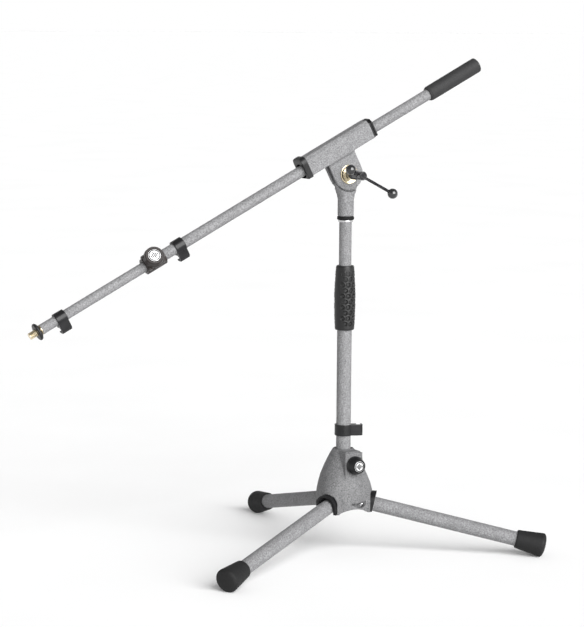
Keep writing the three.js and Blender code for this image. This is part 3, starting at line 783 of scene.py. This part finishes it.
def threaded(radius, start, end, pitch, depth, chamfer=0.8, sides=40, per_turn=8):
    """A rod with a real thread of the given pitch, fading out at both ends."""
    rows = int((end - start) / pitch * per_turn)
    bm = bmesh.new()
    rings = []
    for row in range(rows + 1):
        z = start + (end - start) * row / rows
        ring = []
        for i in range(sides):
            turn = z / pitch - i / sides
            wave = abs(2 * (turn % 1) - 1)
            fade = min(1.0, (z - start) / chamfer, (end - z) / chamfer)
            r = radius - depth * wave * min(1.0, fade + 0.25) - 0.6 * depth * (1 - fade)
            angle = FULL_TURN * i / sides
            ring.append(bm.verts.new((r * math.cos(angle), r * math.sin(angle), z)))
        rings.append(ring)
    for low, high in zip(rings, rings[1:]):
        for i in range(sides):
            j = (i + 1) % sides
            bm.faces.new([low[i], low[j], high[j], high[i]])
    bm.faces.new(rings[0])
    bm.faces.new(rings[-1])
    return mesh_from(bm)


def hub_knob():
    foot = Vector((COLUMN_AXIS.x, COLUMN_AXIS.y, KNOB_HEIGHT * MM)) + KNOB_WAY * (BOSS_FACE + 0.8) * MM
    clamp_knob(
        "hub",
        axes_at(foot, UP.cross(KNOB_WAY), KNOB_WAY),
        BLACK_PLASTIC,
        length=14, base=12.5, face=8.9, badge=7.3, shank=15.5, shank_radius=SCREW_RADIUS,
    )


def boom_knob():
    axis = joint_axis("boom_knob_turn")
    foot = joint_place("boom_knob_turn") + axis * (COLLAR_SEAT + 0.5) * MM
    clamp_knob(
        "boom",
        axes_at(foot, BOOM_AXIS, axis),
        COLLAR_PLASTIC,
        length=11, base=13.6, face=11.4, badge=8.2, shank=6.2, shank_radius=BOOM_SCREW_RADIUS,
    )


# ------------------------ column
def column_tubes():
    outer = pipe(COLUMN_RADIUS, COLUMN_RADIUS - COLUMN_WALL, COLUMN_BOTTOM, COLUMN_TOP)
    stand_for("column_outer_tube", outer, STAND, GREY_PAINT)
    inner = pipe(EXTENSION_RADIUS, EXTENSION_RADIUS - EXTENSION_WALL, EXTENSION_BOTTOM, EXTENSION_TOP)
    stand_for("column_inner_tube", inner, STAND, GREY_PAINT)


DIMPLE_RADIUS = 2.9
DIMPLE_DEPTH = 1.6
DIMPLE_RIM = 0.3  # how far the rubber stands up round a dimple
GRIP_MESH = 0.45  # length of the grip's mesh edges, small beside a dimple
DIMPLE_SPAN = 0.35  # radians round the grip within which a dimple has to be reckoned with
DIMPLE_REACH = 4  # and up or down it
GRIP_CURVE = 14  # the radius that turns an angle on the grip into a distance
DIMPLE_ROWS = 10
DIMPLE_PITCH = 7.6
DIMPLE_FIRST = GRIP_BOTTOM + 9.5
DIMPLE_STEP = 32  # degrees
FIELD_CENTRES = (-82.6, 97.4)  # degrees, the two dimpled fields of the grip


def dimple_places():
    """Angle and height of each dimple: rows of four and three in turn, in two fields."""
    places = []
    for row in range(DIMPLE_ROWS):
        count = 3 if row % 2 == 0 else 4
        for field in FIELD_CENTRES:
            for i in range(count):
                angle = field + (i - (count - 1) / 2) * DIMPLE_STEP
                places.append((math.radians(angle), DIMPLE_FIRST + row * DIMPLE_PITCH))
    return places


def clutch_grip():
    """A barrel-shaped rubber sleeve with round dimples pressed into it."""
    bottom_bore = COLUMN_RADIUS + 0.6
    nut_bore = NUT_RADIUS + GAP
    top_bore = EXTENSION_RADIUS + 0.5
    outside = [
        (bottom_bore, GRIP_BOTTOM, 0), (12.6, GRIP_BOTTOM, 0.7), (13.3, GRIP_BOTTOM + 2, 1),
        (GRIP_BELLY, GRIP_BOTTOM + 32, 60), (GRIP_BELLY, GRIP_BOTTOM + 52, 60),
        (12.4, GRIP_TOP - 2, 1.2), (11.4, GRIP_TOP, 0.8), (top_bore, GRIP_TOP, 0),
    ]
    outline = rounded(outside, steps=10)
    fine = []
    for a, b in zip(outline, outline[1:]):
        count = max(1, int((b - a).length / GRIP_MESH))
        fine.extend(a.lerp(b, i / count) for i in range(count))
    inside = [
        (top_bore, GRIP_TOP), (top_bore, GRIP_TOP - 4), (nut_bore, GRIP_TOP - 4),
        (nut_bore, NUT_BOTTOM - GAP), (bottom_bore, NUT_BOTTOM - 4),
    ]
    places = dimple_places()

    def dimpled(r, angle, z):
        sunk = 0.0
        if r > NUT_RADIUS + 0.6:
            for centre, height in places:
                around = (angle - centre + math.pi) % FULL_TURN - math.pi
                if abs(around) > DIMPLE_SPAN or abs(z - height) > DIMPLE_REACH:
                    continue
                distance = math.hypot(around * GRIP_CURVE, z - height) / DIMPLE_RADIUS
                bowl = max(0.0, 1 - distance**2)
                rim = math.exp(-(((distance - 1.12) / 0.16) ** 2))
                sunk += DIMPLE_DEPTH * min(1.0, 2.2 * bowl) - DIMPLE_RIM * rim
        return ((r - sunk) * math.cos(angle), (r - sunk) * math.sin(angle), z)

    grip = turned([tuple(p) for p in fine] + inside, 0, 200, closed=True, shape=dimpled)
    stand_for("clutch_grip", grip, STAND, CLUTCH_RUBBER)


# ------------------------ head
def neck_rings():
    """A black seal ring and a bright spring ring under the neck."""
    inner = EXTENSION_RADIUS + GAP
    top = NECK_BOTTOM - GAP
    bottom = top - 4.6
    wide = NECK_RADIUS + 0.6
    seal = [
        (inner, bottom), (NECK_RADIUS, bottom), (wide, bottom + 0.9), (wide, top - 0.9),
        (NECK_RADIUS, top), (inner, top),
    ]
    stand_for("neck_seal_ring", turned(seal, 0.5, 96, closed=True), STAND, SEAL_RUBBER)
    spring = pipe(NECK_RADIUS - 1, inner, bottom - 3, bottom - GAP, 0.35)
    stand_for("neck_spring_ring", spring, STAND, STEEL)


def neck_casting():
    """A round socket that flares to two shoulders, with a flat eye standing between them."""
    stem = [
        (0, NECK_BOTTOM), (NECK_RADIUS - 0.6, NECK_BOTTOM),
        (NECK_RADIUS, NECK_BOTTOM + 0.8), (NECK_RADIUS, NECK_TOP - 24),
        (12.4, NECK_TOP - 17), (15.4, NECK_TOP - 9), (SHOULDER_RADIUS, NECK_TOP - 3),
        (SHOULDER_RADIUS, NECK_TOP), (0, NECK_TOP),
    ]
    at_pivot = Matrix.Translation((0, 0, PIVOT.z / MM))
    ways = []
    for side in (-1, 1):
        beyond_flat = sorted((side * NECK_FLAT, side * AROUND))
        beyond_eye = sorted((side * BLADE_HALF, side * AROUND))
        flat = moved(rod(NECK_FLAT_REACH, *beyond_flat, sides=128), TO_FRONT)
        pocket = moved(rod(EAR_POCKET, *beyond_eye, sides=96), TO_FRONT)
        relief = block(0, 20, *beyond_eye, -FOLD_RELIEF, 0)
        ways += [moved(way, at_pivot) for way in (flat, pocket, relief)]
    root = 14
    outline = [(-root, -20), *arc((0, 0), BLADE_RADIUS, 218, -38, 48), (root, -20)]
    eye = moved(prism(outline, -BLADE_HALF, BLADE_HALF, "Y"), at_pivot)
    socket = rod(EXTENSION_RADIUS + GAP, NECK_BOTTOM - PAST, EXTENSION_TOP + GAP, sides=64)
    screw_way = moved(cross_hole(SCREW_RADIUS), at_pivot)
    neck = cut(joined(cut(turned(stem, 2), *ways), eye), screw_way, socket)
    stand_for("neck_casting", softened(neck, 0.45, 4), STAND, GREY_PAINT)


# ------------------------ boom clamp
def block_section(margin=0.0):
    """The block's section in Y and Z about the boom's axis, drawn in by a margin."""
    wide = BLOCK_HALF - margin
    low = -BLOCK_BELOW + margin
    high = BLOCK_ABOVE - margin
    slant = BLOCK_CHAMFER
    return [
        (-wide, low), (wide, low), (wide, high - slant), (wide - slant, high),
        (slant - wide, high), (-wide, high - slant),
    ]


def clamp_block():
    """The cast block round the boom, with two ears below it that hold the neck's eye."""
    lift = Matrix.Translation((0, 0, BOOM_OFFSET))
    body = moved(prism(rounded(block_section(), 0.8, closed=True), BLOCK_START, BLOCK_END, "X"), lift)
    underside = BOOM_OFFSET - BLOCK_BELOW
    ear = [
        (EAR_RADIUS, underside + SKIRT_DEPTH), (-EAR_RADIUS, underside + SKIRT_DEPTH),
        *arc((0, 0), EAR_RADIUS, 180, 360, 48),
    ]
    ears = [prism(ear, -EAR_OUTER, -EAR_INNER, "Y"), prism(ear, EAR_INNER, EAR_OUTER, "Y")]
    within_ear = 1 - EAR_OUTER
    skirt = [
        (-BLOCK_HALF, underside + 0.5), (within_ear, underside + 0.5),
        (within_ear, underside - SKIRT_DEPTH),
    ]
    front_skirt = prism(skirt, -EAR_RADIUS, EAR_RADIUS, "X")
    rear_skirt = prism([(-y, z) for y, z in skirt], -EAR_RADIUS, EAR_RADIUS, "X")
    boom_way = moved(long_hole(BLOCK_BORE, BLOCK_START, BLOCK_END, sides=72), lift)
    slit_ends = (BLOCK_START - PAST, BLOCK_END + PAST)
    slit = block(*slit_ends, -EAR_INNER, EAR_INNER, underside - PAST, BOOM_OFFSET)
    whole = joined(body, *ears, front_skirt, rear_skirt)
    whole = cut(whole, cross_hole(SCREW_RADIUS), boom_way, slit)
    stand_for("boom_clamp_block", softened(whole, 0.5, 4), ARM, GREY_PAINT)


def mic_end_bush():
    """A hollow hood round the boom at the block's microphone end, with a rounded crown."""
    start = BLOCK_START - 8.5
    end = BLOCK_START - GAP
    wide = BLOCK_HALF + 1.5
    low = -BLOCK_BELOW - 1.5
    high = BLOCK_ABOVE + 2.6
    across = [(-wide, low, 2), (wide, low, 2), (wide, high, 9), (-wide, high, 9)]
    along = [(start, low, 1.5), (end, low, 0.6), (end, high, 0.8), (start, high, 6)]
    crown = prism(rounded(across, closed=True, steps=10), start, end, "X")
    side = prism(rounded(along, closed=True, steps=10), -wide - 1, wide + 1, "Y")
    way = long_hole(BOOM_RADIUS + GAP, start, end)
    bowl = [(0, start - 2), (11.2, start - 2), (10.4, start + 1), (8.8, start + 5), (0, start + 5)]
    hood = cut(overlap(crown, side), way, moved(turned(bowl, 1), TO_X))
    stand_for("clamp_bush_mic_end", softened(hood, 0.4, 3), BOOM, BLACK_PLASTIC)


def grip_end_bush():
    """A flange at the block's grip end, with a groove round its middle."""
    start = BLOCK_END + GAP
    end = BLOCK_END + 6
    middle = (start + end) / 2
    parts = [
        prism(rounded(block_section(0.3), 1.2, closed=True), start, middle - 0.5, "X"),
        prism(rounded(block_section(0.6), 1.2, closed=True), middle + 0.5, end, "X"),
        prism(rounded(block_section(1.5), 1.2, closed=True), start + 1, end - 1, "X"),
    ]
    way = long_hole(BOOM_RADIUS + GAP, start, end)
    stand_for("clamp_bush_grip_end", softened(cut(joined(*parts), way), 0.35, 2), BOOM, BLACK_PLASTIC)


def clamp_washer():
    """A polished dished washer with fine turned rings."""
    inner = SCREW_RADIUS + GAP
    base = EAR_OUTER + GAP
    radius = 13
    rings = 9
    face = []
    for i in range(rings):
        r = radius - 0.8 - i * 0.8
        dish = 0.55 * math.sin(math.pi * i / (rings - 1))
        face.append((r, base + 1.4 - dish))
        face.append((r - 0.4, base + 1.28 - dish))
    profile = [(inner, base), (radius, base), (radius, base + 0.9), *face, (inner, base + 1.3)]
    stand_for("clamp_washer", turned(profile, 0.12, 96, closed=True), ARM @ TO_FRONT, BRASS)


def clamp_screw():
    """The clamping screw and the hub of its T-handle, with a recessed end."""
    shoulder = 6.9
    head = 5.9
    recess = HANDLE_REACH - 0.7
    profile = [
        (0, -14.5), (SCREW_RADIUS, -14.5, 0.8), (SCREW_RADIUS, EAR_OUTER + 2, 0.2),
        (shoulder - 0.5, EAR_OUTER + 2, 0.4), (shoulder, EAR_OUTER + 4, 0.8),
        (shoulder, 25, 3), (head - 0.5, 36, 6), (head, BAR_DISTANCE - 0.5, 2),
        (head, HANDLE_REACH - 0.8, 0.5), (head - 0.8, HANDLE_REACH, 0.3),
        (4.4, HANDLE_REACH, 0.2), (4.1, recess, 0.2), (0, recess),
    ]
    hub = moved(turned(profile, 0, 96), TO_FRONT)
    bar_way = moved(rod(BAR_RADIUS + GAP, -HOLE_HALF, HOLE_HALF, sides=32), TO_X)
    bar_way = moved(bar_way, SCREW.inverted() @ TOGGLE)
    stand_for("clamp_screw", cut(hub, bar_way), SCREW, GLOSS_BLACK)
    plate = turned([(0, 0), (4, 0, 0.3), (3.7, 0.35, 0.2), (0, 0.35)], 0, 64)
    plate_axes = SCREW @ Matrix.Translation((0, 0.72 - HANDLE_REACH, 0)) @ TO_FRONT
    add_detail("clamp_screw_end_plate", "clamp_screw", plate, plate_axes, DARK_STEEL)


def clamp_nut():
    """A six-sided nut on the far end of the screw."""
    nut = prism(polygon(7.5, 6), EAR_OUTER + GAP, 14, "Y")
    crown = moved(turned([(0, 4), (7.6, 4), (7.6, 13.2), (6.3, 14.2), (0, 14.2)], 0.3), TO_Y)
    nut = cut(overlap(nut, crown), cross_hole(SCREW_RADIUS, sides=40))
    stand_for("clamp_nut", bevelled(nut, 0.25), ARM, STEEL)


def toggle():
    """The T-handle's sliding bar, with a ball on each end."""
    tail = BALL_RADIUS * 0.75
    cap = tail - 1.2
    neck = BALL_RADIUS - 0.1
    hole = BAR_RADIUS + GAP
    bar = rod(BAR_RADIUS, BAR_NEAR - tail + 1.5, BAR_FAR + tail - 1.5, 0.3)
    stand_for("toggle_bar", moved(bar, TO_X), TOGGLE, DARK_STEEL)
    for name, at, side in (("near", BAR_NEAR, -1), ("far", BAR_FAR, 1)):
        profile = arc((0, 0), BALL_RADIUS, 90, -60, 30)
        profile += [(2.9, -neck), (hole + 0.05, -neck - 0.2), (hole, -neck), (hole, cap), (0, cap)]
        ball = moved(turned(profile, 0.15, 72), Matrix.Rotation(side * math.pi / 2, 4, "Y"))
        stand_for(f"toggle_ball_{name}", ball, TOGGLE @ Matrix.Translation((at, 0, 0)), GLOSS_BLACK)


# ------------------------ boom
def boom_tubes():
    outer = pipe(BOOM_RADIUS, BOOM_RADIUS - BOOM_WALL, BOOM_TUBE_START, BOOM_TUBE_END)
    stand_for("boom_outer_tube", outer, BOOM @ TO_X, GREY_PAINT)
    bore = BOOM_INNER_RADIUS - BOOM_INNER_WALL
    inner = pipe(BOOM_INNER_RADIUS, bore, BOOM_INNER_START, BOOM_INNER_END)
    stand_for("boom_inner_tube", inner, BOOM @ TO_X, GREY_PAINT)


def boom_grip():
    """A foam sleeve with a chamfered start and a rounded closed end."""
    bore = BOOM_RADIUS + GAP
    outer = 10.6
    start = 161
    end = 249
    closed_from = BOOM_TUBE_END + GAP
    profile = [
        (bore, start, 0), (9.0, start, 0.5), (outer - 0.1, start + 3.2, 1),
        (outer, end - 3, 0), (outer, end - 0.4, 2.6), (6, end, 2), (0, end, 0),
        (0, closed_from, 0), (bore, closed_from, 0), (bore, start, 0),
    ]
    stand_for("boom_grip", turned(profile, 0, 120), BOOM @ TO_X, GRIP_FOAM)


def boom_saddle():
    """The flat for the boom's knob: a pad on two props, with a thicker lug at each corner."""
    half = 11.5
    prop = 1.9
    lug = 2.2
    parts = [block(BOOM_KNOB_PLACE - half, BOOM_KNOB_PLACE + half, -10, 10, 7.5, COLLAR_SEAT)]
    for y in (-8.6, 8.6):
        parts.append(block(BOOM_KNOB_PLACE - 3, BOOM_KNOB_PLACE + 3, y - prop, y + prop, 2, COLLAR_SEAT))
    for along in (1.2 - half, half - 1.2):
        for y in (-9, 9):
            x = BOOM_KNOB_PLACE + along
            parts.append(block(x - lug, x + lug, y - lug, y + lug, 7, COLLAR_SEAT))
    return parts


def boom_collar():
    """The collar that joins the two boom tubes, with a flat saddle for its knob."""
    narrow = BOOM_INNER_RADIUS + GAP
    wide = BOOM_RADIUS + GAP
    step = BOOM_TUBE_START - GAP
    barrel = [
        (narrow, COLLAR_START), (COLLAR_RADIUS, COLLAR_START), (COLLAR_RADIUS, COLLAR_END),
        (wide, COLLAR_END), (wide, step), (narrow, step),
    ]
    knob_up = BOOM.inverted().to_3x3() @ joint_axis("boom_knob_turn")
    roll = Matrix.Rotation(-math.atan2(knob_up.y, knob_up.z), 4, "X")
    screw_way = rod(BOOM_SCREW_RADIUS + GAP, 0, 20, sides=32)
    screw_way = moved(screw_way, Matrix.Translation((BOOM_KNOB_PLACE, 0, 0)))
    tube_way = moved(rod(narrow, COLLAR_START - PAST, BOOM_TUBE_START + 1, sides=64), TO_X)
    outer_way = moved(rod(wide, step, COLLAR_END + PAST, sides=64), TO_X)
    saddle = [moved(part, roll) for part in boom_saddle()]
    whole = joined(moved(turned(barrel, closed=True), TO_X), *saddle)
    whole = cut(whole, moved(screw_way, roll), tube_way, outer_way)
    stand_for("boom_collar", softened(whole, 0.4, 3), BOOM, COLLAR_PLASTIC)


def thread_stud():
    """The threaded stud at the low end of the boom."""
    tip = BOOM_INNER_START - 17.5
    root = BOOM_INNER_START - 0.9
    waist = STUD_RADIUS - 0.4
    shank = [
        (0, root - 1), (waist, root - 1), (waist, root), (BOOM_INNER_RADIUS, root),
        (BOOM_INNER_RADIUS, root + 0.6), (5.6, root + 0.6), (5.6, root + 15),
        (0, root + 15),
    ]
    thread = threaded(STUD_RADIUS, tip, root - 0.4, pitch=1.6, depth=0.5, chamfer=1.2, sides=48)
    stand_for("mic_thread_stud", joined(thread, turned(shank, 0.1)), BOOM @ TO_X, BRASS)


def lock_disc():
    """A thin disc on the stud, with a knurled rim."""
    bore = STUD_RADIUS + GAP
    rim = 11.5
    start = BOOM_INNER_START - 7.6
    end = start + 5.4
    profile = [
        (bore, start, 0.1), (8.5, start, 0.6), (10.6, start + 0.4, 0.5),
        (rim, start + 1.3, 0.4), (rim, start + 3.2, 0.4), (10.4, start + 4.4, 0.5),
        (8, end, 0.4), (bore, end, 0.1),
    ]

    def knurled(r, angle, z):
        out = r + (0.16 * math.cos(36 * angle) if r > rim - 0.3 else 0)
        return (out * math.cos(angle), out * math.sin(angle), z)

    disc = turned(profile, 0, 216, closed=True, shape=knurled)
    stand_for("mic_lock_disc", disc, BOOM @ TO_X, BLACK_PLASTIC)


# ------------------------ cable clips
def cable_clip(node, axes, tube_radius, half_length, reach):
    """A band round a tube along X, with a squared lug below it that holds a cable, open to the rear."""
    inner = tube_radius + GAP
    outer = inner + 2
    half = 5.6
    off_centre = 0.6
    band = moved(rod(outer, -half_length, half_length, sides=72), TO_X)
    outline = [
        (-half - 2, 0, 0), (-half - 2, -outer * 0.6, 1), (-half - 1.3, -reach + 3.4, 0.6),
        (-half + 1.6, -reach, 0.6), (half - 1.5, -reach, 1), (half, -reach + 1.5, 1),
        (half, 0, 0),
    ]
    lug = prism(rounded(outline, closed=True), -half_length, half_length, "X")
    height = -reach + 5.5
    at_cable = Matrix.Translation((0, off_centre, height))
    channel = moved(rod(3.3, -AROUND, AROUND, sides=48), at_cable @ TO_X)
    mouth = block(-AROUND, AROUND, off_centre, half + PAST, height - 2.9, height + 2.9)
    way = moved(rod(inner, -AROUND, AROUND, sides=72), TO_X)
    clip = cut(joined(band, lug), channel, mouth, way)
    stand_for(node, softened(clip, 0.35, 3), axes, CLIP_PLASTIC)


def cable_clips():
    for node, joint, radius in (
        ("boom_cable_clip", "boom_clip_turn", BOOM_RADIUS),
        ("mic_cable_clip", "mic_clip_turn", BOOM_INNER_RADIUS),
    ):
        axes = axes_at(joint_place(joint), BOOM_AXIS, BOOM_UP)
        cable_clip(node, axes, radius, half_length=7.25, reach=19)
    place = joint_place("column_clip_turn")
    lug_way = centre_of("column_cable_clip") - place
    lug_way.z = 0
    axes = axes_at(place, UP, -lug_way)
    cable_clip("column_cable_clip", axes, COLUMN_RADIUS, half_length=7.5, reach=26)


# ------------------------ carried-over nodes
KEPT = {
    "column_pressure_pad": BLACK_PLASTIC,
    "column_end_plug": BLACK_PLASTIC,
    "clutch_nut": BLACK_PLASTIC,
    "clutch_sleeve": STEEL,
    "clutch_collet": BLACK_PLASTIC,
    "column_guide_bush": BLACK_PLASTIC,
    "pivot_friction_disc_front": BLACK_PLASTIC,
    "pivot_friction_disc_rear": BLACK_PLASTIC,
    "boom_liner": BLACK_PLASTIC,
    "boom_guide_bush": BLACK_PLASTIC,
}


def finish_kept_nodes():
    """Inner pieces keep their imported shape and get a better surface."""
    for node, material in KEPT.items():
        obj = frame["nodes"][node]
        obj.data.materials.clear()
        obj.data.materials.append(material)
        obj.data.shade_smooth()
        obj.data.set_sharp_from_angle(angle=SMOOTH_ANGLE)


# ------------------------ stage
CAMERA_PLACE = (-1.3479, -2.6869, 0.7244)
CAMERA_HEADING = 27.63  # degrees from +Y towards +X
CAMERA_DROP = 7.46  # degrees below level
CAMERA_ROLL = 0.4
CAMERA_LENS = 136.85


def add_camera():
    data = bpy.data.cameras.new("camera")
    data.sensor_width = 36
    data.sensor_fit = "HORIZONTAL"
    data.lens = CAMERA_LENS
    camera = put("camera", data)
    heading = Matrix.Rotation(math.radians(-CAMERA_HEADING), 4, "Z")
    tilt = Matrix.Rotation(math.radians(90 - CAMERA_DROP), 4, "X")
    roll = Matrix.Rotation(math.radians(CAMERA_ROLL), 4, "Z")
    camera.matrix_world = Matrix.Translation(CAMERA_PLACE) @ heading @ tilt @ roll
    bpy.context.scene.camera = camera


FLOOR_HALF = 150  # metres
FLOOR_THICKNESS = 0.01  # metres
SUN_HEADING = -85  # degrees from +X towards +Y, where the light comes from
SUN_HEIGHT = 22  # degrees above level
SKY_BRIGHTNESS = ((0.0, 1.0), (0.08, 1.0), (0.3, 0.45), (1.0, 0.3))  # at heights from level to overhead


def add_floor():
    surface = Surface("pale_floor", Roughness=0.9, Specular_IOR_Level=0.1)
    tone = surface.ramp(surface.noise(3, 2), (0.3, (0.9, 0.9, 0.9)), (0.7, (0.92, 0.92, 0.92)))
    size = Matrix.Diagonal((FLOOR_HALF, FLOOR_HALF, FLOOR_THICKNESS, 1))
    mesh = moved(block(-1, 1, -1, 1, -1, 0), size)
    mesh.materials.append(surface.drive(Base_Color=tone))
    put("floor", mesh)


def add_sun():
    data = bpy.data.lights.new("soft_sun", "SUN")
    data.energy = 6.0
    data.angle = math.radians(60)
    sun = put("soft_sun", data)
    heading = math.radians(SUN_HEADING)
    height = math.radians(SUN_HEIGHT)
    level = math.cos(height)
    towards = Vector((level * math.cos(heading), level * math.sin(heading), math.sin(height)))
    sun.rotation_euler = towards.to_track_quat("Z", "Y").to_euler()


def add_world():
    """White near the horizon and dimmer overhead, so that level faces do not outshine upright ones."""
    world = bpy.data.worlds.new("studio")
    world.use_nodes = True
    tree = world.node_tree
    place = tree.nodes.new("ShaderNodeTexCoord")
    split = tree.nodes.new("ShaderNodeSeparateXYZ")
    tree.links.new(place.outputs["Generated"], split.inputs["Vector"])
    stops = [(height, grey(brightness, 1)) for height, brightness in SKY_BRIGHTNESS]
    sky = colour_ramp(tree, split.outputs["Z"], stops)
    tree.links.new(sky, tree.nodes["Background"].inputs["Color"])
    bpy.context.scene.world = world


def add_stage():
    add_camera()
    add_floor()
    add_world()
    add_sun()
    bpy.context.scene.view_settings.view_transform = "Standard"


# ------------------------ everything
def build():
    add_stage()
    hub_casting()
    for side in SIDES:
        slot_liner(side)
        hinge_pin(side)
        leg_tube(side)
        leg_knuckle(side)
        foot_cap(side)
    hub_knob()
    column_tubes()
    clutch_grip()
    neck_rings()
    neck_casting()
    clamp_block()
    mic_end_bush()
    grip_end_bush()
    clamp_washer()
    clamp_screw()
    clamp_nut()
    toggle()
    boom_tubes()
    boom_grip()
    boom_collar()
    boom_knob()
    thread_stud()
    lock_disc()
    cable_clips()
    finish_kept_nodes()


build()
